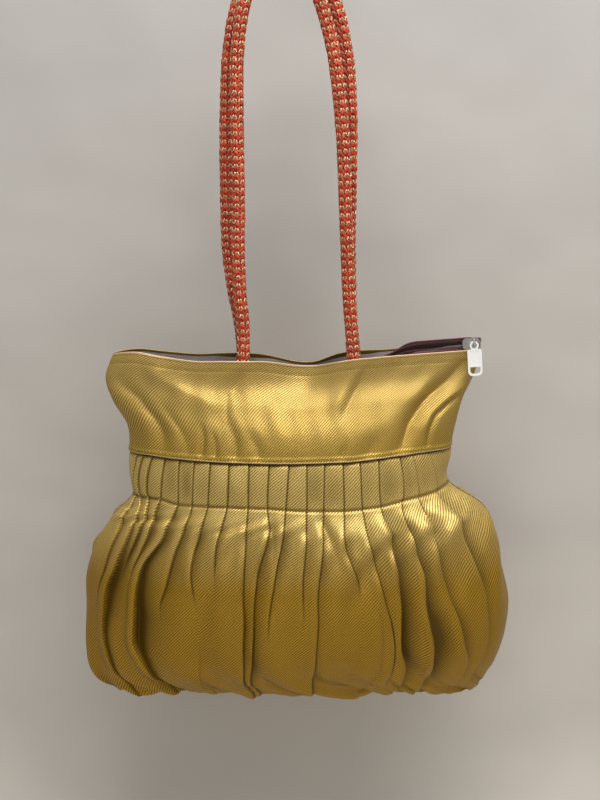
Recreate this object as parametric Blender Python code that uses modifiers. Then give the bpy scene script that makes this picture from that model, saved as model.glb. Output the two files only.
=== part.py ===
"""A gathered potli-style handbag, hanging from its two cord handles, with its zip open.

Metres, +Z up, X across the bag, the front at -Y. The origin is the point the handles hang from.
The front and back walls are made alike: a smooth yoke with a turned mouth edge above, and a skirt of
knife pleats below that opens into a balloon and is gathered into a flat base.
"""

import math

import bmesh
import bpy
import numpy as np
from mathutils import Matrix, Vector

# Clearances between pieces that touch on the real bag.
GAP = 0.0003
SIDE_SEAM = 0.0010
FACET_ROOM = 0.0012
CLOTH = 0.0009
LINING_CLOTH = 0.0004
TAPE_CLOTH = 0.0005

# Body of the bag: places below the mouth, and half widths and half depths there.
MIDDLE_X = 0.010
MOUTH_Z = -0.2525
MOUTH_HALF_WIDTH = 0.1225
YOKE_HEIGHT = 0.0665
WAIST_HALF_WIDTH = 0.1085
WAIST_HALF_DEPTH = 0.038
BAND_HEIGHT = 0.0315
BELLY_DROP = 0.175
BELLY_HALF_WIDTH = 0.145
BELLY_HALF_DEPTH = 0.056
BAG_HEIGHT = 0.242
FOOT_HALF_WIDTH = 0.126
FOOT_HALF_DEPTH = 0.027
FOOT_ARCH = 0.009
BASE_HALF_WIDTH = 0.113
BASE_HALF_DEPTH = 0.018
BASE_LIFT = 0.0105
BASE_THICKNESS = 0.0016
BASE_OVERLAP = 0.005

# Pleats, counted on one wall.
PLEATS = 24
PLEAT_DEPTH = 0.0022
GATHER_DEPTH = 0.0052
SEAM_OVERLAP = 0.006
PLEAT_SHARES = (0.0, 0.50, 0.86)
PLEAT_FOLDED = (0.0, 0.62, 1.0)
PLEAT_OPENED = (0.08, 1.0, 0.72)

# Lining and zip.
LINING_DROP = 0.0022
LINING_END_SHARE = 0.03
TAPE_WIDTH = 0.0095
COIL_RADIUS = 0.0008
COIL_OFFSET = 0.0021
COIL_CLOSED_OFFSET = 0.0011
COIL_DROP = 0.0055
ZIP_LEFT_INSET = 0.0095
ZIP_RIGHT_INSET = 0.0007
ZIP_LEFT_X = MIDDLE_X - MOUTH_HALF_WIDTH + ZIP_LEFT_INSET
ZIP_RIGHT_X = MIDDLE_X + MOUTH_HALF_WIDTH - ZIP_RIGHT_INSET
ZIP_LIFT = 0.0039
ZIP_ROLL = math.radians(85.0)
SLIDER_FROM_END = 0.0073
SLIDER_REST_X = ZIP_RIGHT_X - SLIDER_FROM_END
SLIDER_LENGTH = 0.0110
SLIDER_HALF_WIDTH = 0.0038
SLIDER_PLATE = 0.0009
SLIDER_CHANNEL = 0.0012
SLIDER_LIP = 0.00055
NECK_HALF_WIDTH = 0.0009
NECK_LENGTH = 0.0030
BAIL_RADIUS = 0.00055
BAIL_HALF_SPAN = 0.0021
BAIL_HEIGHT = 0.0063
BAIL_SHIFT = 0.0016
BAIL_ACROSS = 0.0014
PULL_AXIS_HEIGHT = 0.0045
PULL_EYE_RADIUS = 0.0030
PULL_EYE_HOLE = 0.0019
PULL_THICKNESS = 0.0011
PULL_TAB_LENGTH = 0.0176
PULL_TAB_WIDTH = 0.0096
PULL_TAB_TOP = 0.0050
PULL_NECK_HALF_WIDTH = 0.0024
PULL_SLOT_RIM = 0.0014
PULL_SLOT_HEIGHT = 0.0045
PULL_RECESS = 0.0002
CUT_REACH = 0.010
STOP_LENGTH = 0.0016
TAPE_RISE_X = SLIDER_REST_X - SLIDER_LENGTH / 2
TAPE_RISE_LENGTH = 0.006
TAPE_STAND = 0.0027
COIL_ROOM = 0.0017
TAPE_ROOM = 0.0011
# Where each coil leaves its wall, and where it has come to the straight line of the slider.
FRONT_JOIN = (SLIDER_REST_X - 0.0685, SLIDER_REST_X - 0.0365)
BACK_JOIN = (SLIDER_REST_X - 0.0645, SLIDER_REST_X - 0.0345)

# Fineness of the cloth grids and the coils.
YOKE_GRID = (36, 9)
TAPE_COLUMNS = 44
COIL_POINTS = 48
LINING_COLUMNS = 72
SKIRT_STEPS = 7

# Handles: the centre line of each cord, point by point from its left end to its right end.
CORD_DIAMETER = 0.0092
CORD_END_SHARE = 0.32
FRONT_CORD = (
    (-0.0256, -0.0114, -0.2680),
    (-0.0256, -0.0100, -0.2565),
    (-0.0254, -0.0088, -0.2450),
    (-0.0256, -0.0084, -0.2300),
    (-0.0272, -0.0081, -0.2130),
    (-0.0282, -0.0075, -0.1830),
    (-0.0278, -0.0069, -0.1510),
    (-0.0281, -0.0063, -0.1196),
    (-0.0282, -0.0058, -0.0885),
    (-0.0274, -0.0054, -0.0570),
    (-0.0226, -0.0050, -0.0277),
    (-0.0132, -0.0049, -0.0055),
    (0.0008, -0.0049, 0.0048),
    (0.0150, -0.0049, -0.0065),
    (0.0245, -0.0050, -0.0277),
    (0.0328, -0.0054, -0.0578),
    (0.0371, -0.0058, -0.0885),
    (0.0398, -0.0063, -0.1196),
    (0.0410, -0.0069, -0.1510),
    (0.0424, -0.0075, -0.1830),
    (0.0440, -0.0081, -0.2160),
    (0.0456, -0.0084, -0.2350),
    (0.0468, -0.0087, -0.2460),
    (0.0474, -0.0100, -0.2550),
    (0.0474, -0.0114, -0.2665),
)
BACK_CORD = (
    (-0.0262, 0.0114, -0.2680),
    (-0.0262, 0.0100, -0.2565),
    (-0.0268, 0.0088, -0.2450),
    (-0.0287, 0.0084, -0.2300),
    (-0.0325, 0.0081, -0.2100),
    (-0.0355, 0.0075, -0.1830),
    (-0.0360, 0.0069, -0.1510),
    (-0.0360, 0.0063, -0.1196),
    (-0.0352, 0.0058, -0.0885),
    (-0.0332, 0.0054, -0.0570),
    (-0.0270, 0.0050, -0.0277),
    (-0.0155, 0.0049, -0.0050),
    (0.0020, 0.0049, 0.0048),
    (0.0205, 0.0049, -0.0050),
    (0.0334, 0.0050, -0.0267),
    (0.0412, 0.0054, -0.0575),
    (0.0442, 0.0058, -0.0888),
    (0.0448, 0.0063, -0.1200),
    (0.0445, 0.0069, -0.1510),
    (0.0443, 0.0075, -0.1830),
    (0.0450, 0.0081, -0.2160),
    (0.0460, 0.0084, -0.2350),
    (0.0468, 0.0087, -0.2460),
    (0.0474, 0.0100, -0.2550),
    (0.0474, 0.0114, -0.2665),
)
CORD_SPACING = 0.0105
CORD_POCKET_HALF_WIDTH = 0.016
CORD_TAPER = 0.020

# The mouth edge along the bag: share of the half width, half gap in front and behind, and rise.
STRAIGHT_GAP = 0.0035
STRAIGHT_SPREAD = 0.0148
STRAIGHT_RISE = 0.0027
STRAIGHT_FALL = 0.0065
MOUTH_EDGE = (
    (-1.0, 0.0004, 0.0004, -0.0012),
    (-0.97, 0.0030, 0.0030, 0.0000),
    (-0.86, 0.0066, 0.0066, 0.0012),
    (-0.72, 0.0100, 0.0100, -0.0012),
    (-0.54, 0.0130, 0.0130, -0.0036),
    (-0.40, 0.0144, 0.0144, -0.0033),
    (-0.28, 0.0146, 0.0146, -0.0034),
    (-0.17, 0.0118, 0.0118, -0.0040),
    (0.00, 0.0070, 0.0070, -0.0075),
    (0.10, 0.0072, 0.0072, -0.0075),
    (0.22, 0.0138, 0.0138, -0.0038),
    (0.31, 0.0146, 0.0146, -0.0020),
    (0.42, 0.0132, 0.0138, -0.0010),
    (0.52, 0.0109, 0.0120, -0.0004),
)
BACK_STRAIGHT_GAP = 0.0052
BACK_STRAIGHT_SPREAD = 0.0118
BACK_LIFT = 0.0042
STRAIGHT_SHARES = (0.62, 0.70, 0.84, 0.985)

# Soft folds of the front yoke: from (share of half width, share of yoke height) to the same, then
# half width of the fold, and how far it goes in.
YOKE_FOLDS = (
    ((0.83, 0.40), (0.62, 1.00), 0.0065, 0.0050),
    ((0.97, 0.42), (0.74, 1.00), 0.0050, 0.0026),
    ((0.30, 0.28), (0.16, 0.66), 0.0080, 0.0024),
    ((-0.28, 0.26), (-0.24, 0.60), 0.0080, 0.0026),
    ((-0.96, 0.66), (-0.80, 1.00), 0.0065, 0.0030),
    ((-0.45, 0.70), (-0.58, 1.00), 0.0060, 0.0022),
)

BAG = bpy.data.collections.new("potli_bag")
CUTTERS = bpy.data.collections.new("cutters")


def clear_scene():
    for obj in list(bpy.data.objects):
        bpy.data.objects.remove(obj, do_unlink=True)
    bpy.context.scene.collection.children.link(BAG)
    bpy.context.scene.collection.children.link(CUTTERS)


def material(name, colour, roughness, metallic=0.0):
    made = bpy.data.materials.new(name)
    made.use_nodes = True
    shader = made.node_tree.nodes["Principled BSDF"]
    shader.inputs["Base Color"].default_value = (*colour, 1.0)
    shader.inputs["Roughness"].default_value = roughness
    shader.inputs["Metallic"].default_value = metallic
    return made


def curve_through(stations, at):
    """Reads rows of (place, value, value...) at one place, along smooth curves through the rows."""
    rows = np.array(stations, dtype=float)
    places, values = rows[:, 0], rows[:, 1:]
    slopes = np.empty_like(values)
    slopes[1:-1] = (values[2:] - values[:-2]) / (places[2:] - places[:-2])[:, None]
    slopes[0] = (values[1] - values[0]) / (places[1] - places[0])
    slopes[-1] = (values[-1] - values[-2]) / (places[-1] - places[-2])
    at = min(max(at, places[0]), places[-1])
    i = min(int(np.searchsorted(places, at, side="right")) - 1, len(places) - 2)
    width = places[i + 1] - places[i]
    t = (at - places[i]) / width
    return (
        (2 * t**3 - 3 * t**2 + 1) * values[i]
        + (t**3 - 2 * t**2 + t) * width * slopes[i]
        + (3 * t**2 - 2 * t**3) * values[i + 1]
        + (t**3 - t**2) * width * slopes[i + 1]
    )


def ease(value, start, end):
    t = min(max((value - start) / (end - start), 0.0), 1.0)
    return t * t * (3 - 2 * t)


def mix(a, b, t):
    return a + (b - a) * t


# Rows: drop below the mouth, half width, sideways lean of the middle, half depth.
BODY = (
    (0.0, MOUTH_HALF_WIDTH, 0.0, 0.0130),
    (0.0165, MOUTH_HALF_WIDTH + 0.0003, -0.0050, 0.0150),
    (0.0330, mix(MOUTH_HALF_WIDTH, WAIST_HALF_WIDTH, 0.40), -0.0062, 0.0235),
    (
        0.0500,
        mix(MOUTH_HALF_WIDTH, WAIST_HALF_WIDTH, 0.88),
        -0.0038,
        mix(0.0235, WAIST_HALF_DEPTH, 0.66),
    ),
    (YOKE_HEIGHT, WAIST_HALF_WIDTH, -0.0045, WAIST_HALF_DEPTH),
    (YOKE_HEIGHT + BAND_HEIGHT, WAIST_HALF_WIDTH - 0.0003, -0.0055, WAIST_HALF_DEPTH + 0.0030),
    (
        YOKE_HEIGHT + BAND_HEIGHT + 0.018,
        mix(WAIST_HALF_WIDTH, BELLY_HALF_WIDTH, 0.58),
        -0.0018,
        mix(WAIST_HALF_DEPTH, BELLY_HALF_DEPTH, 0.62),
    ),
    (
        mix(YOKE_HEIGHT + BAND_HEIGHT, BELLY_DROP, 0.68),
        BELLY_HALF_WIDTH - 0.003,
        -0.0014,
        BELLY_HALF_DEPTH - 0.002,
    ),
    (BELLY_DROP, BELLY_HALF_WIDTH, 0.0008, BELLY_HALF_DEPTH),
    (
        mix(BELLY_DROP, BAG_HEIGHT, 0.50),
        BELLY_HALF_WIDTH - 0.0025,
        -0.0015,
        BELLY_HALF_DEPTH - 0.004,
    ),
    (
        mix(BELLY_DROP, BAG_HEIGHT, 0.80),
        mix(BELLY_HALF_WIDTH, FOOT_HALF_WIDTH, 0.48),
        -0.0040,
        mix(BELLY_HALF_DEPTH, FOOT_HALF_DEPTH, 0.48),
    ),
    (BAG_HEIGHT, FOOT_HALF_WIDTH - 0.003, -0.0015, FOOT_HALF_DEPTH),
)


def straight_rows():
    """The straight stretch of the mouth edge at the right, where the zip slider runs."""
    rows = []
    for share in STRAIGHT_SHARES:
        away = 1.0 - share
        rows.append(
            (
                share,
                STRAIGHT_GAP + away * STRAIGHT_SPREAD,
                BACK_STRAIGHT_GAP + away * BACK_STRAIGHT_SPREAD,
                STRAIGHT_RISE - away * STRAIGHT_FALL,
            )
        )
    rows.append((1.0, 0.0004, 0.0004, STRAIGHT_RISE - 0.0008))
    return rows


def turn_at(share):
    return math.acos(min(max(-share, -1.0), 1.0))


MOUTH_ROWS = [(turn_at(row[0]), *row[1:]) for row in (*MOUTH_EDGE, *straight_rows())]


def mouth_edge(share, side):
    """(half gap, height) of the outer mouth edge. side is -1 in front and 1 behind."""
    front_gap, back_gap, rise = curve_through(MOUTH_ROWS, turn_at(share))
    lift = BACK_LIFT * ease(share, 0.45, 0.92) if side > 0 else 0.0
    return (back_gap if side > 0 else front_gap), MOUTH_Z + rise + lift


def section(drop):
    """(half width, middle, half depth) of the bag at this drop below the mouth."""
    half_width, lean, half_depth = curve_through(BODY, drop)
    return half_width, MIDDLE_X + lean, half_depth


def yoke_fold(share, level):
    """How far the front yoke's soft folds go in at this place."""
    inward = 0.0
    for start, end, half_width, depth in YOKE_FOLDS:
        a = Vector((start[0] * MOUTH_HALF_WIDTH, start[1] * YOKE_HEIGHT))
        b = Vector((end[0] * MOUTH_HALF_WIDTH, end[1] * YOKE_HEIGHT))
        here = Vector((share * MOUTH_HALF_WIDTH, level * YOKE_HEIGHT))
        along = min(max((here - a).dot(b - a) / (b - a).length_squared, 0.0), 1.0)
        away = (here - a.lerp(b, along)).length / half_width
        inward += depth * math.exp(-away * away) * (0.35 + 0.65 * ease(along, 0.0, 0.5))
    return inward * (1.0 - ease(level, 0.90, 1.0))


def wall_point(turn, drop, side):
    """A point of the yoke's outer face. turn is 0 at the left end and pi at the right."""
    share = -math.cos(turn)
    level = drop / YOKE_HEIGHT
    half_width, middle, half_depth = section(drop)
    gap, edge_z = mouth_edge(share, side)
    hold = 1.0 - ease(drop, 0.0, 0.030)
    fold = yoke_fold(share, level) if side < 0 else 0.5 * yoke_fold(-share, level)
    depth = mix(SIDE_SEAM + half_depth * math.sin(turn), gap, hold)
    depth = max(depth - fold * math.sin(turn), SIDE_SEAM)
    x = middle + share * half_width
    z = mix(MOUTH_Z - drop, edge_z - drop, 1.0 - ease(drop, 0.0, 0.9 * YOKE_HEIGHT))
    return Vector((x, side * depth, z))


def skirt_point(turn, drop, side):
    """A point of the skirt's envelope. Its foot is arched, lower at the ends than in the middle."""
    half_width, middle, half_depth = section(drop)
    bulge = math.sin(turn)
    depth = SIDE_SEAM + half_depth * bulge
    lift = FOOT_ARCH * bulge * ease(drop, BELLY_DROP - 0.02, BAG_HEIGHT)
    return Vector((middle - math.cos(turn) * half_width, side * depth, MOUTH_Z - drop + lift))


def moved_in(surface, turn, drop, side, distance):
    """The point of a surface moved inward along its normal."""
    here = surface(turn, drop, side)
    step, fall = 0.01, 0.0015
    later, earlier = min(turn + step, math.pi), max(turn - step, 0.0)
    across = surface(later, drop, side) - surface(earlier, drop, side)
    down = surface(turn, drop + fall, side) - surface(turn, max(drop - fall, 0.0), side)
    normal = across.cross(down).normalized()
    if normal.dot(Vector((here.x - MIDDLE_X, here.y * 3, 0))) < 0:
        normal.negate()
    moved = here - normal * distance
    moved.y = side * max(side * moved.y, SIDE_SEAM)
    return moved


def grid_object(name, columns, rows, place, outward, finish):
    """A rectangular grid of cloth whose points are set by place(u, v), with its faces turned outward."""
    mesh = bpy.data.meshes.new(name)
    shape = bmesh.new()
    bmesh.ops.create_grid(shape, x_segments=columns, y_segments=rows, size=0.5)
    for vertex in shape.verts:
        vertex.co = place(vertex.co.x + 0.5, vertex.co.y + 0.5)
    shape.normal_update()
    centre = place(0.5, 0.5)
    middle = min(shape.faces, key=lambda face: (face.calc_center_median() - centre).length)
    if middle.normal.dot(outward) < 0:
        bmesh.ops.reverse_faces(shape, faces=shape.faces)
    shape.to_mesh(mesh)
    shape.free()
    obj = bpy.data.objects.new(name, mesh)
    BAG.objects.link(obj)
    mesh.materials.append(finish)
    mesh.shade_smooth()
    return obj


def thicken(obj, thickness):
    """Gives open cloth its thickness, on its inner side."""
    solid = obj.modifiers.new("thickness", "SOLIDIFY")
    solid.thickness = thickness
    solid.offset = -1.0
    return obj


def yoke(name, side, finish):
    def place(u, v):
        return wall_point(math.pi * u, YOKE_HEIGHT * (1.0 - v) ** 0.9, side)

    return thicken(grid_object(name, *YOKE_GRID, place, Vector((0, side, 0)), finish), CLOTH)


def pleat_columns():
    """Places across one wall, from 0 to 1: the foot, the flat and the crest of each pleat."""
    places = [(k + share) / PLEATS for k in range(PLEATS) for share in PLEAT_SHARES]
    return places + [1.0]


SKIRT_COLUMNS = pleat_columns()


def pleat_height(column, opened):
    """Height of a pleat's columns, from its folded form in the band to its opened form below."""
    k, part = divmod(column, len(PLEAT_SHARES))
    if column in (0, len(SKIRT_COLUMNS) - 1):
        return 0.0
    height = mix(PLEAT_FOLDED[part], PLEAT_OPENED[part], opened)
    fullness = 1.0 - 0.38 * opened * (0.5 + 0.5 * math.sin(2.4 * k + 0.9))
    return height * fullness


def skirt(name, side, finish):
    """The pleated wall below the yoke. Its crests lie on the bag's envelope and its valleys inside it."""
    top = YOKE_HEIGHT - SEAM_OVERLAP
    band_end = YOKE_HEIGHT + BAND_HEIGHT
    drops = [top, YOKE_HEIGHT + 0.001, mix(YOKE_HEIGHT, band_end, 0.5), band_end]
    drops += [mix(band_end, BAG_HEIGHT, ((k + 1) / SKIRT_STEPS) ** 0.93) for k in range(SKIRT_STEPS)]
    last = len(drops)
    width = len(SKIRT_COLUMNS) - 1

    def place(u, v):
        column = round(u * width)
        row = round((1.0 - v) * last)
        share = SKIRT_COLUMNS[column]
        drop = drops[min(row, last - 1)]
        opened = ease(drop, band_end - 0.004, band_end + 0.035)
        k = column // len(PLEAT_SHARES)
        drift = 0.30 * opened * math.sin(1.7 * k + 0.022 * (drop - band_end) * 1000 + 0.6)
        middle_weight = ease(share, 0.0, 0.08) * (1.0 - ease(share, 0.92, 1.0))
        share += middle_weight * drift / PLEATS
        fading = 1.0 - 0.45 * ease(drop, BELLY_DROP, BAG_HEIGHT)
        depth = mix(PLEAT_DEPTH, GATHER_DEPTH, opened) * fading
        seat = (CLOTH + GAP + FACET_ROOM) * (1.0 - ease(drop, YOKE_HEIGHT, YOKE_HEIGHT + 0.008))
        inset = seat + depth * (1.0 - pleat_height(column, opened))
        turn = math.pi * share
        if row < last:
            surface = wall_point if drop < YOKE_HEIGHT else skirt_point
            return moved_in(surface, turn, drop, side, inset)
        bulge = math.sin(turn)
        x = MIDDLE_X - math.cos(turn) * BASE_HALF_WIDTH
        return Vector((x, side * (SIDE_SEAM + BASE_HALF_DEPTH * bulge), base_level() - GAP))

    return thicken(grid_object(name, width, last, place, Vector((0, side, 0)), finish), CLOTH)


def base_level():
    """Height of the underside of the base panel."""
    return MOUTH_Z - BAG_HEIGHT + BASE_LIFT + CLOTH


def base_panel(finish):
    """A flat oval panel that lies inside on the skirt's turned-in foot."""
    half_width = BASE_HALF_WIDTH + BASE_OVERLAP
    half_depth = BASE_HALF_DEPTH + BASE_OVERLAP
    outline = bpy.data.curves.new("base_panel", "CURVE")
    outline.dimensions = "2D"
    outline.fill_mode = "BOTH"
    outline.extrude = BASE_THICKNESS / 2
    points = 48
    spline = outline.splines.new("POLY")
    spline.points.add(points - 1)
    spline.use_cyclic_u = True
    for k, point in enumerate(spline.points):
        turn = 2 * math.pi * k / points
        point.co = (half_width * math.cos(turn), half_depth * math.sin(turn), 0, 1)
    obj = bpy.data.objects.new("base_panel", outline)
    obj.location = (MIDDLE_X, 0, base_level() + GAP + BASE_THICKNESS / 2)
    outline.materials.append(finish)
    BAG.objects.link(obj)
    return obj


def cord_room(x, drop):
    """How far the lining stands in around the cord ends, which are sewn in behind the mouth edge."""
    spread = 0.0
    for cord_x in (FRONT_CORD[0][0], FRONT_CORD[-1][0]):
        away = (x - cord_x) / CORD_POCKET_HALF_WIDTH
        spread += math.exp(-(away**4))
    depth = mix(0.74, 0.50, ease(drop, LINING_DROP, 0.0125)) * CORD_DIAMETER
    return spread * depth * (1.0 - ease(drop, 0.0135, 0.0240))


def lining_point(turn, drop, side):
    """A point of the lining, close inside the yoke above and inside the pleats below."""
    inset = CLOTH + GAP + FACET_ROOM * ease(drop, 0.0, 0.010)
    pleats = PLEAT_DEPTH + CLOTH + 2 * GAP
    if drop < YOKE_HEIGHT:
        inset += ease(drop, 0.6 * YOKE_HEIGHT, YOKE_HEIGHT - SEAM_OVERLAP) * pleats
        point = moved_in(wall_point, turn, drop, side, inset)
        point.y = side * max(abs(point.y) - cord_room(point.x, drop), 0.0009)
        return point
    band_end = YOKE_HEIGHT + BAND_HEIGHT
    deeper = GATHER_DEPTH - PLEAT_DEPTH + FACET_ROOM
    inset += pleats + deeper * ease(drop, YOKE_HEIGHT + 0.01, band_end + 0.03)
    return moved_in(skirt_point, turn, drop, side, inset)


def lining(finish):
    """The satin pouch inside the bag, open at the mouth and closed just above the base panel."""
    floor = BAG_HEIGHT - 0.024
    band_end = YOKE_HEIGHT + BAND_HEIGHT
    drops = [LINING_DROP, 0.012, 0.024, 0.040, YOKE_HEIGHT - SEAM_OVERLAP, band_end]
    drops += [mix(band_end, floor, share) for share in (0.3, 0.65, 1.0)]
    around = LINING_COLUMNS
    mesh = bpy.data.meshes.new("lining")
    shape = bmesh.new()
    rings = []
    for drop in drops:
        ring = []
        for k in range(around):
            side = -1 if k < around // 2 else 1
            share = (k + 0.5) / around * 2 if side < 0 else 2 - (k + 0.5) / around * 2
            turn = math.pi * mix(LINING_END_SHARE, 1 - LINING_END_SHARE, share)
            ring.append(shape.verts.new(lining_point(turn, drop, side)))
        rings.append(ring)
    for upper, lower in zip(rings, rings[1:]):
        for k in range(around):
            shape.faces.new((upper[k - 1], lower[k - 1], lower[k], upper[k]))
    bottom = shape.faces.new(list(reversed(rings[-1])))
    bmesh.ops.triangulate(shape, faces=[bottom])
    bmesh.ops.recalc_face_normals(shape, faces=shape.faces)
    shape.to_mesh(mesh)
    shape.free()
    mesh.materials.append(finish)
    mesh.shade_smooth()
    obj = bpy.data.objects.new("lining", mesh)
    BAG.objects.link(obj)
    return thicken(obj, LINING_CLOTH)


def share_at(x):
    return (x - MIDDLE_X) / MOUTH_HALF_WIDTH


def slider_line(x):
    """Centre of the slider when it stands at x: a straight line beside the front mouth edge."""
    away = 1.0 - share_at(x)
    gap = STRAIGHT_GAP + away * STRAIGHT_SPREAD
    edge_z = MOUTH_Z + STRAIGHT_RISE - away * STRAIGHT_FALL
    wall = CLOTH + LINING_CLOTH + 2 * GAP + TAPE_CLOTH / 2
    return Vector((x, wall - gap, edge_z + ZIP_LIFT))


def slider_axes():
    """Along the zip, across it from the front coil to the back coil, and out of the slider's face."""
    start = slider_line(MIDDLE_X + STRAIGHT_SHARES[1] * MOUTH_HALF_WIDTH)
    end = slider_line(MIDDLE_X + STRAIGHT_SHARES[3] * MOUTH_HALF_WIDTH)
    along = (end - start).normalized()
    across = Vector((0, math.cos(ZIP_ROLL), math.sin(ZIP_ROLL)))
    out = along.cross(across).normalized()
    return along, out.cross(along).normalized(), out


def coil_point(x, side):
    """Centre line of a coil: beside its wall in the open mouth, and side by side at the right end."""
    _, across, _ = slider_axes()
    gap, edge_z = mouth_edge(share_at(x), side)
    beside = CLOTH + LINING_CLOTH + 2 * GAP + COIL_RADIUS + COIL_ROOM + cord_room(x, COIL_DROP)
    ends_up = 0.0035 * (1.0 - ease(x, ZIP_LEFT_X, ZIP_LEFT_X + 0.020))
    free = Vector((x, side * max(gap - beside, 0.0013), edge_z - COIL_DROP + ends_up))
    offset = mix(COIL_OFFSET, COIL_CLOSED_OFFSET, ease(x, SLIDER_REST_X - 0.001, SLIDER_REST_X + 0.005))
    joined = slider_line(x) + across * (side * offset)
    return free.lerp(joined, ease(x, *(FRONT_JOIN if side < 0 else BACK_JOIN)))


def tape_point(x, t, side):
    """A point of a tape: t is 0 at its coil and 1 at the edge that is sewn to the wall."""
    _, across, out = slider_axes()
    coil = coil_point(x, side)
    gap, edge_z = mouth_edge(share_at(x), side)
    clear = COIL_RADIUS + 2 * GAP
    below = TAPE_WIDTH + clear
    wall = CLOTH + LINING_CLOTH + 2 * GAP + TAPE_CLOTH + TAPE_ROOM
    at_end = ease(x, TAPE_RISE_X, TAPE_RISE_X + TAPE_RISE_LENGTH)
    if side < 0:
        joined = ease(x, *FRONT_JOIN)
        beside_coil = gap + coil.y + 2 * GAP * (1 - at_end)
        beside = mix(wall + cord_room(x, COIL_DROP + below), beside_coil, joined)
        sewn_z = mix(coil.z - below, edge_z + 0.0008, at_end)
        foot = Vector((coil.x, -max(gap - beside, 0.0013), sewn_z))
        top = Vector((coil.x, coil.y, coil.z - clear))
        return top.lerp(foot, t)
    # The back tape turns from hanging below its coil to standing over the slider's plate.
    joined = ease(x, *BACK_JOIN)
    angle = mix(math.radians(-88.0), math.radians(88.0), joined)
    turned = Vector((0, math.cos(angle), math.sin(angle)))
    start = coil + turned * clear
    over = coil + turned * TAPE_STAND
    free_y = max(gap - wall - cord_room(x, COIL_DROP + below), 0.0013)
    free = Vector((coil.x, free_y, edge_z - COIL_DROP - below))
    held = Vector((coil.x, max(gap - wall, 0.0013), edge_z - mix(0.0035, -0.0008, at_end)))
    sewn = free.lerp(held, joined)
    plate_corner = across * SLIDER_HALF_WIDTH - out * (SLIDER_CHANNEL + SLIDER_PLATE)
    beyond = slider_line(x) + plate_corner + across * 2 * GAP - out * 3 * GAP
    back = over.lerp(sewn, 0.4).lerp(beyond, ease(joined, 0.4, 1.0))
    knots = ((0.0, *start), (0.26, *over), (0.55, *back), (1.0, *sewn))
    return Vector(curve_through(knots, t))


def zip_tape(name, side, finish):
    left = ZIP_LEFT_X - STOP_LENGTH

    def place(u, v):
        return tape_point(mix(left, ZIP_RIGHT_X, u), 1.0 - v, side)

    rows = 2 if side < 0 else 5
    obj = grid_object(name, TAPE_COLUMNS, rows, place, Vector((0, side, 0)), finish)
    solid = obj.modifiers.new("thickness", "SOLIDIFY")
    solid.thickness = TAPE_CLOTH
    solid.offset = 0.0
    return obj


def tube(name, points, radius, radii, resolution, finish):
    """A round tube with filled caps through the given points, with a radius share at each."""
    line = bpy.data.curves.new(name, "CURVE")
    line.dimensions = "3D"
    line.bevel_depth = radius
    line.bevel_resolution = resolution
    line.use_fill_caps = True
    spline = line.splines.new("POLY")
    spline.points.add(len(points) - 1)
    for point, place, share in zip(spline.points, points, radii):
        point.co = (*place, 1)
        point.radius = share
    line.materials.append(finish)
    obj = bpy.data.objects.new(name, line)
    BAG.objects.link(obj)
    return obj


def zip_coil(name, side, finish):
    shares = [k / (COIL_POINTS - 1) for k in range(COIL_POINTS)]
    points = [coil_point(mix(ZIP_LEFT_X, ZIP_RIGHT_X - STOP_LENGTH, share), side) for share in shares]
    return tube(name, points, COIL_RADIUS, [1.0] * COIL_POINTS, 1, finish)


def cord(name, route, finish):
    """A handle cord on a smooth curve through its route, narrowed where its ends are sewn in."""
    places = [0.0]
    for a, b in zip(route, route[1:]):
        places.append(places[-1] + (Vector(b) - Vector(a)).length)
    rows = [(place, *point) for place, point in zip(places, route)]
    count = round(places[-1] / CORD_SPACING) + 1
    knots = [places[-1] * k / count for k in range(count + 1)]
    knots[1:1] = [CORD_TAPER * 0.3]
    knots[-1:-1] = [places[-1] - CORD_TAPER * 0.3]
    points = [Vector(curve_through(rows, at)) for at in knots]
    to_end = [min(at, places[-1] - at) for at in knots]
    radii = [mix(CORD_END_SHARE, 1.0, ease(distance, 0.0, CORD_TAPER)) for distance in to_end]
    return tube(name, points, CORD_DIAMETER / 2, radii, 2, finish)


def box(name, low, high, collection, finish=None):
    mesh = bpy.data.meshes.new(name)
    shape = bmesh.new()
    bmesh.ops.create_cube(shape, size=1.0)
    low, high = Vector(low), Vector(high)
    for vertex in shape.verts:
        vertex.co = Vector(((a + b) / 2 + (b - a) * c for a, b, c in zip(low, high, vertex.co)))
    shape.to_mesh(mesh)
    shape.free()
    obj = bpy.data.objects.new(name, mesh)
    collection.objects.link(obj)
    if finish:
        mesh.materials.append(finish)
    return obj


def helper(obj):
    obj.hide_render = True
    obj.display_type = "WIRE"
    return obj


def round_plate(name, outline, low, high, collection, finish=None):
    """A flat plate of the given outline between two heights, made a mesh."""
    mesh = bpy.data.meshes.new(name)
    shape = bmesh.new()
    face = shape.faces.new([shape.verts.new((x, y, low)) for x, y in outline])
    raised = bmesh.ops.extrude_face_region(shape, geom=[face])["geom"]
    top = [item for item in raised if isinstance(item, bmesh.types.BMVert)]
    bmesh.ops.translate(shape, verts=top, vec=(0, 0, high - low))
    bmesh.ops.recalc_face_normals(shape, faces=shape.faces)
    shape.to_mesh(mesh)
    shape.free()
    obj = bpy.data.objects.new(name, mesh)
    collection.objects.link(obj)
    if finish:
        mesh.materials.append(finish)
    return obj


def rounded_outline(left, right, bottom, top, radii, steps=5):
    """A rectangle with its own radius at each corner: bottom right, top right, top left, bottom left."""
    corners = (
        (right, bottom, -1, 1, -90),
        (right, top, -1, -1, 0),
        (left, top, 1, -1, 90),
        (left, bottom, 1, 1, 180),
    )
    points = []
    for (x, y, inward_x, inward_y, start), radius in zip(corners, radii):
        for k in range(steps + 1):
            turn = math.radians(start + 90 * k / steps)
            points.append(
                (
                    x + radius * (inward_x + math.cos(turn)),
                    y + radius * (inward_y + math.sin(turn)),
                )
            )
    return points


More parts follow.
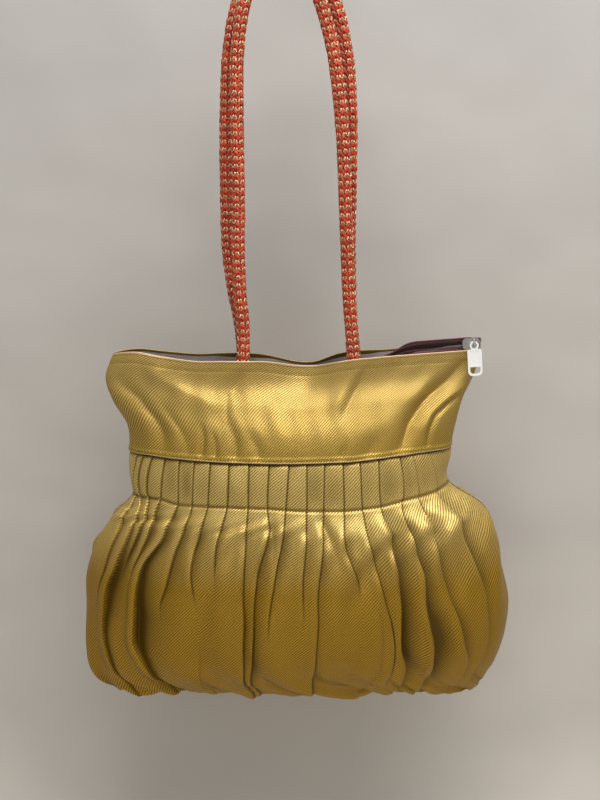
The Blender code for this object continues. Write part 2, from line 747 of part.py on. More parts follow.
def circle(radius, centre_y, steps=28):
    turns = [2 * math.pi * k / steps for k in range(steps)]
    return [(radius * math.cos(turn), centre_y + radius * math.sin(turn)) for turn in turns]


def boolean(obj, other, operation):
    made = obj.modifiers.new(operation.lower() + "_" + other.name, "BOOLEAN")
    made.operation = operation
    made.object = other
    helper(other)


def in_frame(obj, frame):
    obj.parent = frame


def mesh_of(obj):
    """Turns a curve object into a mesh cutter or part with welded caps."""
    graph = bpy.context.evaluated_depsgraph_get()
    mesh = bpy.data.meshes.new_from_object(obj.evaluated_get(graph))
    shape = bmesh.new()
    shape.from_mesh(mesh)
    bmesh.ops.remove_doubles(shape, verts=shape.verts, dist=0.00001)
    bmesh.ops.recalc_face_normals(shape, faces=shape.faces)
    shape.to_mesh(mesh)
    shape.free()
    made = bpy.data.objects.new(obj.name + "_mesh", mesh)
    made.matrix_world = obj.matrix_world
    CUTTERS.objects.link(made)
    bpy.data.objects.remove(obj, do_unlink=True)
    return made


def zip_slider(frame, finish):
    """Two plates with lips, a neck between the coils, and a bail. Local X runs along the zip, Y across it."""
    half, width = SLIDER_LENGTH / 2, SLIDER_HALF_WIDTH
    outline = rounded_outline(-half, half, -width, width, (0.0016, 0.0016, 0.0024, 0.0024))
    top = SLIDER_CHANNEL + SLIDER_PLATE
    slider = round_plate("zip_slider", outline, SLIDER_CHANNEL, top, BAG, finish)
    lower = round_plate("slider_lower_plate", outline, -top, -SLIDER_CHANNEL, CUTTERS)
    neck = box(
        "slider_neck",
        (-half + 0.0008, -NECK_HALF_WIDTH, -top + 0.0002),
        (-half + 0.0008 + NECK_LENGTH, NECK_HALF_WIDTH, top - 0.0002),
        CUTTERS,
    )
    pieces = [lower, neck]
    lip_inner = COIL_OFFSET + COIL_RADIUS + GAP
    for level in (-1, 1):
        for edge in (-1, 1):
            y_low, y_high = sorted((edge * lip_inner, edge * (width - 0.0001)))
            z_low, z_high = sorted((level * SLIDER_LIP, level * (SLIDER_CHANNEL + 0.0004)))
            name = f"slider_lip_{(level + 1) // 2}{(edge + 1) // 2}"
            pieces.append(box(name, (-half + 0.0030, y_low, z_low), (half - 0.0020, y_high, z_high), CUTTERS))
    arch = []
    steps = 12
    foot = top - 0.0004
    for k in range(steps + 1):
        turn = math.pi * k / steps
        rise = (BAIL_HEIGHT - foot) * math.sin(turn) ** 0.75
        arch.append(Vector((BAIL_SHIFT, BAIL_ACROSS - BAIL_HALF_SPAN * math.cos(turn), foot + rise)))
    bail = mesh_of(tube("slider_bail", arch, BAIL_RADIUS, [1.0] * len(arch), 2, finish))
    pieces.append(bail)
    for piece in pieces:
        boolean(slider, piece, "UNION")
        in_frame(piece, frame)
    in_frame(slider, frame)
    return slider


def zip_pull(axis_frame, finish):
    """A flat tab with a round eye around the bail. Local X is the hinge axis, and the tab hangs at -Y."""
    half = PULL_THICKNESS / 2
    eye_y = -(PULL_EYE_RADIUS + PULL_EYE_HOLE) / 2
    tab_top = -PULL_TAB_TOP
    tab_bottom = tab_top - PULL_TAB_LENGTH
    width = PULL_TAB_WIDTH / 2
    outline = rounded_outline(-width, width, tab_bottom, tab_top, (0.0030, 0.0012, 0.0012, 0.0030))
    pull = round_plate("zip_pull", outline, -half, half, BAG, finish)
    eye = round_plate("pull_eye", circle(PULL_EYE_RADIUS, eye_y), -half, half, CUTTERS)
    neck_low = (-PULL_NECK_HALF_WIDTH, tab_top - 0.0008, -half)
    neck_high = (PULL_NECK_HALF_WIDTH, eye_y - PULL_EYE_HOLE - 0.0003, half)
    neck = box("pull_neck", neck_low, neck_high, CUTTERS)
    hole = circle(PULL_EYE_HOLE, eye_y)
    eye_hole = round_plate("pull_eye_hole", hole, -CUT_REACH, CUT_REACH, CUTTERS)
    slot_width = width - PULL_SLOT_RIM
    slot_low = tab_bottom + PULL_SLOT_RIM
    slot_top = slot_low + PULL_SLOT_HEIGHT
    slot_corners = (0.0020, 0.0004, 0.0004, 0.0020)
    slot = rounded_outline(-slot_width, slot_width, slot_low, slot_top, slot_corners)
    slot_hole = round_plate("pull_slot", slot, -CUT_REACH, CUT_REACH, CUTTERS)
    panel_width = width - 0.0018
    panel_top = tab_top - 0.0009
    panel = rounded_outline(-panel_width, panel_width, slot_top + 0.0012, panel_top, (0.0004,) * 4)
    recess = round_plate("pull_recess", panel, half - PULL_RECESS, half + CUT_REACH, CUTTERS)
    for piece, operation in (
        (neck, "UNION"),
        (eye, "UNION"),
        (eye_hole, "DIFFERENCE"),
        (slot_hole, "DIFFERENCE"),
        (recess, "DIFFERENCE"),
    ):
        boolean(pull, piece, operation)
        in_frame(piece, axis_frame)
    in_frame(pull, axis_frame)
    return pull


def zip_stops(along, across, out, finish):
    """One stop that joins both coils at the right end, and one on each coil at the left end."""
    centre = slider_line(ZIP_RIGHT_X - STOP_LENGTH / 2)
    half = Vector((STOP_LENGTH / 2 - GAP, COIL_CLOSED_OFFSET + COIL_RADIUS, COIL_RADIUS))
    stop = box("zip_bottom_stop", -half, half, BAG, finish)
    stop.matrix_world = Matrix.Translation(centre) @ Matrix((along, across, out)).transposed().to_4x4()
    for side, name in ((-1, "zip_top_stop_front"), (1, "zip_top_stop_back")):
        place = coil_point(ZIP_LEFT_X - STOP_LENGTH / 2, side)
        half = Vector((STOP_LENGTH / 2 - GAP, COIL_RADIUS, COIL_RADIUS))
        stop = box(name, -half, half, BAG, finish)
        stop.location = place


def empty(name, matrix):
    obj = bpy.data.objects.new(name, None)
    obj.empty_display_size = 0.01
    BAG.objects.link(obj)
    obj.matrix_world = matrix
    return obj


def build():
    clear_scene()
    gold = material("gold_satin", (0.42, 0.25, 0.06), 0.38, 0.55)
    satin = material("lining_satin", (0.22, 0.19, 0.17), 0.35)
    maroon = material("maroon_tape", (0.11, 0.004, 0.012), 0.8)
    coil = material("coil_nylon", (0.25, 0.22, 0.20), 0.4)
    silver = material("zip_metal", (0.83, 0.84, 0.82), 0.22, 1.0)
    red = material("cord_yarn", (0.42, 0.07, 0.03), 0.7)

    yoke("front_yoke", -1, gold)
    yoke("back_yoke", 1, gold)
    skirt("front_skirt", -1, gold)
    skirt("back_skirt", 1, gold)
    base_panel(gold)
    lining(satin)

    zip_tape("zip_tape_front", -1, maroon)
    zip_tape("zip_tape_back", 1, maroon)
    zip_coil("zip_coil_front", -1, coil)
    zip_coil("zip_coil_back", 1, coil)
    along, across, out = slider_axes()
    turned = Matrix((along, across, out)).transposed().to_4x4()
    zip_stops(along, across, out, silver)
    centre = slider_line(SLIDER_REST_X)
    slider_frame = empty("slider_frame", Matrix.Translation(centre) @ turned)
    zip_slider(slider_frame, silver)
    axis = centre + along * BAIL_SHIFT + across * BAIL_ACROSS + out * PULL_AXIS_HEIGHT
    pull_frame = empty("pull_axis", Matrix.Translation(axis) @ turned)
    zip_pull(pull_frame, silver)

    cord("handle_front", FRONT_CORD, red)
    cord("handle_back", BACK_CORD, red)


build()
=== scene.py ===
"""Looks of a gathered potli handbag hanging from two knitted cord handles, with its zip open.

Metres, +Z up, the front at -Y. The bag's outline has the same rows of numbers as the solids', and the
creases, folds, weave, stitches, yarns and zip coils are made here.
"""

import math

import bpy
import numpy as np
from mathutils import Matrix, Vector


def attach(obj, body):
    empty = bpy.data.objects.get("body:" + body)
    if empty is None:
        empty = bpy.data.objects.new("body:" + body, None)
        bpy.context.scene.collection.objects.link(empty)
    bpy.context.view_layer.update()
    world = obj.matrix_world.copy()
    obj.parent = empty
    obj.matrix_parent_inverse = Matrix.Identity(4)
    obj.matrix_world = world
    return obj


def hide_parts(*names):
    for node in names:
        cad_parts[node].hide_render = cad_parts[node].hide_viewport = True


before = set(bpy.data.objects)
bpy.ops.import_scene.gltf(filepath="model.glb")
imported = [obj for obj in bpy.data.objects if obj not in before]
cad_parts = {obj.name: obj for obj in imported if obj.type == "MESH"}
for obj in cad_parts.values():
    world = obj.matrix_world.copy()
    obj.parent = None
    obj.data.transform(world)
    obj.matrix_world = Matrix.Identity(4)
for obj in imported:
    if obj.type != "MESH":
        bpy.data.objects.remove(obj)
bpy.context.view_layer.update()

MIDDLE_X = 0.010
MOUTH_Z = -0.2525
MOUTH_HALF_WIDTH = 0.1225
YOKE_HEIGHT = 0.0665
WAIST_HALF_WIDTH = 0.1085
WAIST_HALF_DEPTH = 0.038
BAND_HEIGHT = 0.0315
BAND_END = YOKE_HEIGHT + BAND_HEIGHT
BELLY_DROP = 0.175
BELLY_HALF_WIDTH = 0.145
BELLY_HALF_DEPTH = 0.056
BAG_HEIGHT = 0.242
FOOT_HALF_WIDTH = 0.126
FOOT_HALF_DEPTH = 0.027
FOOT_ARCH = 0.009
BASE_HALF_WIDTH = 0.113
BASE_HALF_DEPTH = 0.018
BASE_LIFT = 0.0105
BASE_TURNING = 0.004
GAP = 0.0003
SIDE_SEAM = 0.0010
CLOTH = 0.0009
LINING_CLOTH = 0.0004
TAPE_CLOTH = 0.0005
STRAIGHT_GAP = 0.0035
STRAIGHT_SPREAD = 0.0148
STRAIGHT_RISE = 0.0027
STRAIGHT_FALL = 0.0065
BACK_STRAIGHT_GAP = 0.0052
BACK_STRAIGHT_SPREAD = 0.0118
BACK_LIFT = 0.0060
STRAIGHT_SHARES = (0.62, 0.70, 0.84, 0.985)
MOUTH_EDGE = (
    (-1.0, 0.0004, 0.0004, -0.0012),
    (-0.97, 0.0030, 0.0030, 0.0000),
    (-0.86, 0.0066, 0.0066, 0.0012),
    (-0.72, 0.0100, 0.0100, -0.0012),
    (-0.54, 0.0130, 0.0130, -0.0036),
    (-0.40, 0.0144, 0.0144, -0.0033),
    (-0.28, 0.0146, 0.0146, -0.0034),
    (-0.17, 0.0118, 0.0118, -0.0040),
    (0.00, 0.0070, 0.0070, -0.0075),
    (0.10, 0.0072, 0.0072, -0.0075),
    (0.22, 0.0138, 0.0138, -0.0038),
    (0.31, 0.0146, 0.0146, -0.0020),
    (0.42, 0.0132, 0.0138, -0.0010),
    (0.52, 0.0109, 0.0120, -0.0004),
)


def mix(a, b, t):
    return a + (b - a) * t


def ease(value, start, end):
    t = np.clip((np.asarray(value, float) - start) / (end - start), 0.0, 1.0)
    return t * t * (3 - 2 * t)


def curve_through(stations, at):
    """Reads rows of (place, value, value...) at many places, along smooth curves through the rows."""
    rows = np.array(stations, dtype=float)
    places, values = rows[:, 0], rows[:, 1:]
    slopes = np.empty_like(values)
    slopes[1:-1] = (values[2:] - values[:-2]) / (places[2:] - places[:-2])[:, None]
    slopes[0] = (values[1] - values[0]) / (places[1] - places[0])
    slopes[-1] = (values[-1] - values[-2]) / (places[-1] - places[-2])
    at = np.clip(np.asarray(at, float), places[0], places[-1])
    i = np.clip(np.searchsorted(places, at, side="right") - 1, 0, len(places) - 2)
    width = (places[i + 1] - places[i])[..., None]
    t = (at - places[i])[..., None] / width
    return (
        (2 * t**3 - 3 * t**2 + 1) * values[i]
        + (t**3 - 2 * t**2 + t) * width * slopes[i]
        + (3 * t**2 - 2 * t**3) * values[i + 1]
        + (t**3 - t**2) * width * slopes[i + 1]
    )


BODY = (
    (0.0, MOUTH_HALF_WIDTH, 0.0, 0.0130),
    (0.0165, MOUTH_HALF_WIDTH + 0.0003, -0.0050, 0.0150),
    (0.0330, mix(MOUTH_HALF_WIDTH, WAIST_HALF_WIDTH, 0.40), -0.0062, 0.0235),
    (0.0500, mix(MOUTH_HALF_WIDTH, WAIST_HALF_WIDTH, 0.88), -0.0038, mix(0.0235, WAIST_HALF_DEPTH, 0.66)),
    (YOKE_HEIGHT, WAIST_HALF_WIDTH, -0.0045, WAIST_HALF_DEPTH),
    (BAND_END, WAIST_HALF_WIDTH - 0.0003, -0.0055, WAIST_HALF_DEPTH + 0.0030),
    (
        BAND_END + 0.018,
        mix(WAIST_HALF_WIDTH, BELLY_HALF_WIDTH, 0.58),
        -0.0018,
        mix(WAIST_HALF_DEPTH, BELLY_HALF_DEPTH, 0.62),
    ),
    (mix(BAND_END, BELLY_DROP, 0.68), BELLY_HALF_WIDTH - 0.003, -0.0014, BELLY_HALF_DEPTH - 0.002),
    (BELLY_DROP, BELLY_HALF_WIDTH, 0.0008, BELLY_HALF_DEPTH),
    (mix(BELLY_DROP, BAG_HEIGHT, 0.50), BELLY_HALF_WIDTH - 0.0025, -0.0015, BELLY_HALF_DEPTH - 0.004),
    (
        mix(BELLY_DROP, BAG_HEIGHT, 0.80),
        mix(BELLY_HALF_WIDTH, FOOT_HALF_WIDTH, 0.48),
        -0.0040,
        mix(BELLY_HALF_DEPTH, FOOT_HALF_DEPTH, 0.48),
    ),
    (BAG_HEIGHT, FOOT_HALF_WIDTH - 0.003, -0.0015, FOOT_HALF_DEPTH),
)


def straight_rows():
    rows = []
    for share in STRAIGHT_SHARES:
        away = 1.0 - share
        rows.append(
            (
                share,
                STRAIGHT_GAP + away * STRAIGHT_SPREAD,
                BACK_STRAIGHT_GAP + away * BACK_STRAIGHT_SPREAD,
                STRAIGHT_RISE - away * STRAIGHT_FALL,
            )
        )
    rows.append((1.0, 0.0004, 0.0004, STRAIGHT_RISE - 0.0008))
    return rows


def turn_at(share):
    return np.arccos(np.clip(-np.asarray(share, float), -1.0, 1.0))


MOUTH_ROWS = [(float(turn_at(row[0])), *row[1:]) for row in (*MOUTH_EDGE, *straight_rows())]


def mouth_edge(share, side):
    """(half gap, height) of the outer mouth edge. side is -1 in front and 1 behind."""
    values = curve_through(MOUTH_ROWS, turn_at(share))
    lift = BACK_LIFT * ease(share, 0.45, 0.92) if side > 0 else 0.0
    return values[..., 1 if side > 0 else 0], MOUTH_Z + values[..., 2] + lift


def section(drop):
    values = curve_through(BODY, drop)
    return values[..., 0], MIDDLE_X + values[..., 1], values[..., 2]


def wall_point(turn, drop, side):
    """Points of the yoke's outer face, without its soft folds."""
    share = -np.cos(turn)
    half_width, middle, half_depth = section(drop)
    gap, edge_z = mouth_edge(share, side)
    depth = mix(SIDE_SEAM + half_depth * np.sin(turn), gap, 1.0 - ease(drop, 0.0, 0.030))
    z = mix(MOUTH_Z - drop, edge_z - drop, 1.0 - ease(drop, 0.0, 0.9 * YOKE_HEIGHT))
    x = middle + share * half_width
    return np.stack(np.broadcast_arrays(x, side * np.maximum(depth, SIDE_SEAM), z), -1)


def skirt_point(turn, drop, side):
    half_width, middle, half_depth = section(drop)
    bulge = np.sin(turn)
    depth = SIDE_SEAM + half_depth * bulge
    lift = FOOT_ARCH * bulge * ease(drop, BELLY_DROP - 0.02, BAG_HEIGHT)
    x = middle - np.cos(turn) * half_width
    return np.stack(np.broadcast_arrays(x, side * depth, MOUTH_Z - drop + lift), -1)


# Wall, flat sizes of the cloths, camera, handles, zip, stitches and weave.
WALL_Y = 0.09
FLOOR_Z = -0.80
CAMERA_PLACE = (0.01187, -0.92565, -0.07160)
CAMERA_TILT = math.radians(77.0)
CAMERA_LENS = 63.8
CORD_DIAMETER = 0.0092
CORD_END_SHARE = 0.32
CORD_TAPER = 0.020
CORD_POCKET_HALF_WIDTH = 0.016
FRONT_CORD = (
    (-0.0256, -0.0114, -0.2680), (-0.0256, -0.0100, -0.2565), (-0.0254, -0.0088, -0.2450),
    (-0.0256, -0.0084, -0.2300), (-0.0272, -0.0081, -0.2130), (-0.0282, -0.0075, -0.1830),
    (-0.0278, -0.0069, -0.1510), (-0.0281, -0.0063, -0.1196), (-0.0282, -0.0058, -0.0885),
    (-0.0274, -0.0054, -0.0570), (-0.0226, -0.0050, -0.0277), (-0.0132, -0.0049, -0.0055),
    (0.0008, -0.0049, 0.0048), (0.0150, -0.0049, -0.0065), (0.0245, -0.0050, -0.0277),
    (0.0328, -0.0054, -0.0578), (0.0371, -0.0058, -0.0885), (0.0398, -0.0063, -0.1196),
    (0.0410, -0.0069, -0.1510), (0.0424, -0.0075, -0.1830), (0.0440, -0.0081, -0.2160),
    (0.0456, -0.0084, -0.2350), (0.0468, -0.0087, -0.2460), (0.0474, -0.0100, -0.2550),
    (0.0474, -0.0114, -0.2665),
)
BACK_CORD = (
    (-0.0262, 0.0114, -0.2680), (-0.0262, 0.0100, -0.2565), (-0.0268, 0.0088, -0.2450),
    (-0.0287, 0.0084, -0.2300), (-0.0325, 0.0081, -0.2100), (-0.0355, 0.0075, -0.1830),
    (-0.0360, 0.0069, -0.1510), (-0.0360, 0.0063, -0.1196), (-0.0352, 0.0058, -0.0885),
    (-0.0332, 0.0054, -0.0570), (-0.0270, 0.0050, -0.0277), (-0.0155, 0.0049, -0.0050),
    (0.0020, 0.0049, 0.0048), (0.0205, 0.0049, -0.0050), (0.0334, 0.0050, -0.0267),
    (0.0412, 0.0054, -0.0575), (0.0442, 0.0058, -0.0888), (0.0448, 0.0063, -0.1200),
    (0.0445, 0.0069, -0.1510), (0.0443, 0.0075, -0.1830), (0.0450, 0.0081, -0.2160),
    (0.0460, 0.0084, -0.2350), (0.0468, 0.0087, -0.2460), (0.0474, 0.0100, -0.2550),
    (0.0474, 0.0114, -0.2665),
)
LINING_DROP = 0.0022
LINING_END_SHARE = 0.03
TAPE_WIDTH = 0.0095
COIL_RADIUS = 0.0008
COIL_OFFSET = 0.0021
COIL_CLOSED_OFFSET = 0.0011
COIL_DROP = 0.0055
COIL_ROOM = 0.0017
COIL_PITCH = 0.00115
FOLD_RADIUS = 0.00045
EDGE_STITCH_DROP = 0.0013
TOPSTITCH_DROP = 0.0067
SEAM_STITCHES = (0.0029, 0.0024, 0.0019)
STITCH_PITCH = 0.0027
THREAD_RADIUS = 0.00025
STITCH_ROW = 0.0051
CORD_TWIST = 2.0
TWILL_PITCH = 0.00145
FLOAT_PITCH = 0.0011
CREASE_EDGE = 0.00045
CREASE_LINE = 0.00055
PANEL_CLOSENESS = 0.125
STITCH_LIFT = 0.00012
STITCH_PARTS = 10
COIL_THREAD_RADIUS = 0.00026
COIL_FLATTENING = 0.78
COIL_TURN_POINTS = 10
TAPE_WARP = 0.0011
TAPE_WEFT = 0.0009
TAPE_FACING = (0.24, 0.30)
TAPE_ARCH_SHARE = 0.75
CORD_COLUMNS = 12
CORD_POINTS = 1200
CORD_CORE_RADIUS = 0.0034
CORD_CORE_RINGS = 260
YARN_JITTER = 0.00012
# Least distance of the outer cloth, and of the tapes and coils, from the plane between the two walls.
LEAST_DEPTH = 0.0002
LEAST_ZIP_DEPTH = 0.0013
# How far from the side seams the folds fade out, as an angle round the wall.
END_FADE = 0.10
# How strongly each pleat of the band stands out or in, and how strongly its neighbour does.
PLEAT_UNEVEN = (0.0016, 0.0012)
UNDER_ROWS = 12
# Grid sizes: columns and rows of the yoke, points of a panel and rows of the skirt.
DENSITY = {"front": (560, 56, 30, 98), "back": (380, 40, 20, 72)}
WALL_CORNER_RADIUS = 0.25
# Rings of a short round-ended rod: share of its length, radii past that, and size.
CAPSULE_RINGS = (
    (0.0, -0.85, 0.12), (0.0, -0.35, 0.80), (0.5, 0.0, 1.04), (1.0, 0.35, 0.80), (1.0, 0.85, 0.12),
)
# Rows of the base panel from its middle below, round its edge, to its middle above: share and height.
BASE_ROWS = (
    (0.0, 0.0), (0.35, 0.0), (0.7, 0.0), (0.94, 0.0), (0.985, 0.0002), (1.0, 0.0008),
    (0.985, 0.0014), (0.94, 0.0016), (0.5, 0.0016), (0.0, 0.0016),
)
TAPE_ROOM = 0.0011
TAPE_STAND = 0.0027
TAPE_RISE_X = 0.1190
TAPE_RISE_LENGTH = 0.006
FRONT_JOIN = (0.056, 0.088)
BACK_JOIN = (0.060, 0.090)
ZIP_LEFT_X = -0.1030
ZIP_RIGHT_X = 0.1318
ZIP_LIFT = 0.0039
ZIP_ROLL = math.radians(85.0)
SLIDER_REST_X = 0.1245
SLIDER_HALF_WIDTH = 0.0038
SLIDER_REACH = 0.0021
STOP_LENGTH = 0.0016

# Where the yoke's seam and the band's stitch line run higher or lower than level: share, metres.
SEAM_SHIFT = (
    (-1.0, -0.0004), (-0.86, -0.0011), (-0.73, -0.0008), (-0.48, -0.0001), (0.0, 0.0001),
    (0.38, -0.0006), (0.62, -0.0027), (0.78, -0.0038), (1.0, -0.0036),
)
BAND_SHIFT = (
    (-1.0, -0.0014), (-0.90, -0.0027), (-0.81, -0.0034), (-0.69, -0.0012), (-0.38, -0.0019),
    (-0.13, -0.0018), (0.10, -0.0002), (0.34, 0.0004), (0.45, -0.0003), (0.575, -0.0013),
    (0.71, -0.0041), (0.92, -0.0070), (1.0, -0.0097),
)

# Creases of the skirt from the yoke's seam to the foot: drop in millimetres, share of the half
# width, and depth in millimetres. A crease is a knife fold whose left side lies over its right side.
CREASES = (
    ((66, -0.948, 1.2), (96, -0.985, 1.0), (113, -0.950, 2.2), (128, -0.925, 2.2), (148, -0.915, 1.6),
     (166, -0.940, 0.5), (190, -0.955, 0.0), (236, -0.930, 0.0)),
    ((66, -0.905, 1.5), (95, -0.950, 1.3), (109, -0.880, 2.4), (125, -0.848, 3.8), (142, -0.854, 5.0),
     (155, -0.877, 5.2), (172, -0.899, 4.5), (189, -0.912, 3.5), (204, -0.901, 3.0), (219, -0.880, 2.4),
     (236, -0.870, 1.5)),
    ((66, -0.843, 1.5), (94, -0.896, 1.3), (103, -0.862, 2.5), (111, -0.822, 3.0), (126, -0.811, 2.6),
     (140, -0.822, 0.8), (152, -0.835, 0.0), (200, -0.850, 0.0), (236, -0.830, 0.0)),
    ((66, -0.761, 1.5), (96, -0.803, 1.3), (105, -0.797, 3.0), (115, -0.761, 3.2), (131, -0.762, 2.2),
     (145, -0.780, 0.6), (160, -0.795, 0.0), (200, -0.805, 0.0), (236, -0.770, 0.0)),
    ((67, -0.672, 1.5), (96, -0.689, 1.3), (106, -0.690, 3.0), (118, -0.676, 3.6), (137, -0.727, 4.2),
     (154, -0.740, 5.2), (173, -0.753, 6.5), (195, -0.758, 6.2), (206, -0.735, 4.8), (223, -0.685, 3.2),
     (236, -0.660, 2.0)),
    ((68, -0.580, 1.5), (97, -0.597, 1.3), (115, -0.579, 3.0), (125, -0.587, 3.2), (139, -0.594, 2.8),
     (152, -0.607, 2.0), (164, -0.635, 0.8), (180, -0.640, 0.0), (236, -0.580, 0.0)),
    ((68, -0.482, 1.5), (97, -0.497, 1.3), (115, -0.488, 2.6), (126, -0.496, 2.8), (141, -0.487, 2.2),
     (152, -0.470, 1.0), (166, -0.460, 0.0), (236, -0.440, 0.6)),
    ((69, -0.367, 1.5), (97, -0.374, 1.3), (107, -0.377, 2.2), (118, -0.383, 2.8), (128, -0.381, 1.8),
     (142, -0.378, 0.4), (160, -0.370, 0.0), (236, -0.350, 0.0)),
    ((69, -0.247, 1.6), (97, -0.246, 1.3), (113, -0.244, 2.0), (130, -0.238, 2.0), (148, -0.237, 2.0),
     (187, -0.246, 2.6), (221, -0.230, 2.6), (236, -0.225, 1.5)),
    ((69, -0.126, 1.6), (97, -0.128, 1.3), (110, -0.120, 2.6), (118, -0.134, 3.4), (136, -0.170, 2.8),
     (148, -0.179, 2.2), (172, -0.200, 1.8), (217, -0.197, 2.0), (236, -0.195, 1.5)),
    ((70, -0.006, 1.6), (97, -0.016, 1.3), (113, -0.051, 2.6), (131, -0.080, 2.8), (148, -0.097, 2.0),
     (172, -0.132, 0.8), (190, -0.130, 0.0), (236, -0.120, 0.0)),
    ((69, 0.102, 1.6), (97, 0.111, 1.3), (113, 0.068, 2.4), (136, 0.043, 2.4), (148, 0.039, 1.4),
     (165, 0.030, 0.5), (180, 0.020, 0.0), (236, 0.020, 0.0)),
    ((68, 0.208, 1.6), (98, 0.212, 1.3), (113, 0.155, 2.6), (136, 0.123, 2.4), (172, 0.092, 1.8),
     (194, 0.091, 1.8), (225, 0.105, 2.2), (236, 0.110, 1.5)),
    ((68, 0.320, 1.6), (98, 0.337, 1.3), (113, 0.262, 2.6), (122, 0.255, 2.8), (132, 0.273, 2.6),
     (143, 0.298, 1.2), (155, 0.300, 0.0), (236, 0.280, 0.0)),
    ((67, 0.422, 1.6), (98, 0.449, 1.3), (114, 0.380, 2.4), (130, 0.386, 2.4), (149, 0.406, 2.2),
     (161, 0.415, 2.0), (174, 0.427, 1.7), (205, 0.462, 1.2), (236, 0.470, 0.0)),
    ((67, 0.534, 1.6), (97, 0.565, 1.3), (107, 0.529, 3.0), (119, 0.491, 4.2), (129, 0.483, 4.4),
     (140, 0.493, 4.2), (156, 0.489, 4.8), (175, 0.476, 5.0), (197, 0.492, 5.0), (215, 0.540, 4.2),
     (228, 0.548, 3.2), (236, 0.550, 2.0)),
    ((67, 0.667, 1.2), (94, 0.711, 1.0), (111, 0.611, 2.6), (127, 0.598, 2.8), (143, 0.614, 3.4),
     (164, 0.596, 5.0), (177, 0.605, 6.5), (192, 0.632, 6.8), (211, 0.653, 5.4), (225, 0.668, 3.8),
     (236, 0.670, 2.0)),
    ((67, 0.744, 0.5), (95, 0.804, 0.6), (113, 0.724, 2.4), (129, 0.693, 2.8), (148, 0.711, 2.6),
     (166, 0.728, 2.4), (195, 0.783, 2.8), (212, 0.832, 2.0), (236, 0.840, 0.5)),
    ((65, 0.843, 0.4), (92, 0.926, 0.5), (107, 0.894, 2.4), (120, 0.849, 4.0), (140, 0.866, 3.8),
     (158, 0.881, 3.0), (171, 0.878, 2.4), (204, 0.907, 1.8), (236, 0.900, 0.0)),
)
# A fine crease that starts lower down, and hollows and swellings: drop, share, half width and
# half height in millimetres, depth in millimetres.
LATE_CREASE = (
    (150, 0.375, 0.0), (165, 0.380, 0.9), (174, 0.383, 1.3), (196, 0.396, 1.6), (218, 0.402, 1.8),
    (228, 0.372, 1.6), (236, 0.365, 1.0),
)
HOLLOWS = (
    (112, 0.185, 3.5, 14, 2.2),
    (118, -0.105, 3.0, 13, 1.6),
    (120, -0.50, 4.0, 14, 1.0),
    (113, 0.66, 4.0, 12, 0.8),
    (124, 0.93, 6.0, 20, 2.2),
    (128, -0.355, 4.0, 16, -2.0),
    (124, 0.655, 6.0, 14, -2.4),
    (122, 0.775, 6.0, 13, -2.0),
    (130, 0.155, 4.5, 11, -1.6),
    (134, 0.285, 3.5, 12, -1.4),
    (105, -0.84, 9.0, 8, -1.4),
    (205, -0.45, 14.0, 12, 1.8),
    (222, -0.38, 6.0, 9, 1.6),
    (214, 0.24, 8.0, 10, 1.8),
    (224, 0.27, 4.0, 6, 1.8),
    (205, -0.60, 8.0, 16, -1.6),
    (200, 0.00, 16.0, 24, -1.8),
    (196, 0.74, 10.0, 22, -2.2),
)
# How far the left side seam stands in below the band: drop, depth and half height.
LEFT_SHOULDER = (0.1140, 0.0045, 0.0170)
# Soft folds of the front yoke: line through (share, drop in mm), half width and depth in mm.
YOKE_FOLDS = (
    (((0.905, 11), (0.865, 19), (0.795, 27), (0.750, 36), (0.703, 46), (0.678, 60)), 5.5, 5.4),
    (((0.990, 29), (0.925, 35), (0.860, 42), (0.835, 52), (0.83, 62)), 2.4, 2.0),
    (((0.965, 25), (0.890, 32), (0.822, 41), (0.795, 50)), 2.2, -1.0),
    (((0.800, 14), (0.700, 26), (0.600, 38), (0.520, 48)), 8.0, -0.9),
    (((0.378, 9), (0.377, 17), (0.345, 27), (0.310, 38)), 3.6, 1.7),
    (((0.330, 10), (0.300, 22), (0.250, 32)), 5.0, -1.0),
    (((-0.265, 9), (-0.285, 17), (-0.300, 22)), 3.6, 1.1),
    (((-0.330, 12), (-0.335, 27), (-0.350, 40)), 3.0, 1.0),
    (((-0.800, 7), (-0.700, 14), (-0.560, 22), (-0.420, 29)), 7.5, -2.6),
    (((-0.930, 20), (-0.830, 30), (-0.790, 42), (-0.770, 60)), 6.0, 2.6),
    (((-0.700, 32), (-0.660, 46), (-0.620, 62)), 5.0, 1.6),
    (((-0.540, 66), (-0.525, 52), (-0.515, 45)), 2.6, 1.7),
    (((-0.450, 66), (-0.456, 54), (-0.460, 49)), 2.4, 1.3),
    (((-0.330, 66), (-0.332, 54), (-0.340, 45)), 4.2, 2.1),
    (((-0.180, 66), (-0.205, 56), (-0.240, 49)), 4.5, 1.6),
    (((0.300, 66), (0.310, 60), (0.320, 56)), 3.0, 1.3),
    (((0.460, 66), (0.490, 57), (0.520, 53)), 6.5, 1.8),
)
BACK_YOKE_FOLDS = tuple((line, half_width, 0.5 * depth) for line, half_width, depth in YOKE_FOLDS)

rng = np.random.default_rng(7)


def units(vectors):
    return vectors / np.maximum(np.linalg.norm(vectors, axis=-1, keepdims=True), 1e-12)


def distances(points):
    """How far along a line of points each of them lies."""
    return np.concatenate([[0.0], np.cumsum(np.linalg.norm(np.diff(points, axis=0), axis=1))])


def interpolated(at, places, points):
    return np.stack([np.interp(at, places, points[:, k]) for k in range(3)], -1)


def sides_of(grid):
    """Unit normals of a grid of points."""
    return units(np.cross(np.gradient(grid, axis=1), np.gradient(grid, axis=0)))


def outward(grid, side):
    normal = sides_of(grid)
    middle = normal[grid.shape[0] // 3, grid.shape[1] // 2]
    return normal if middle[1] * side > 0 else -normal


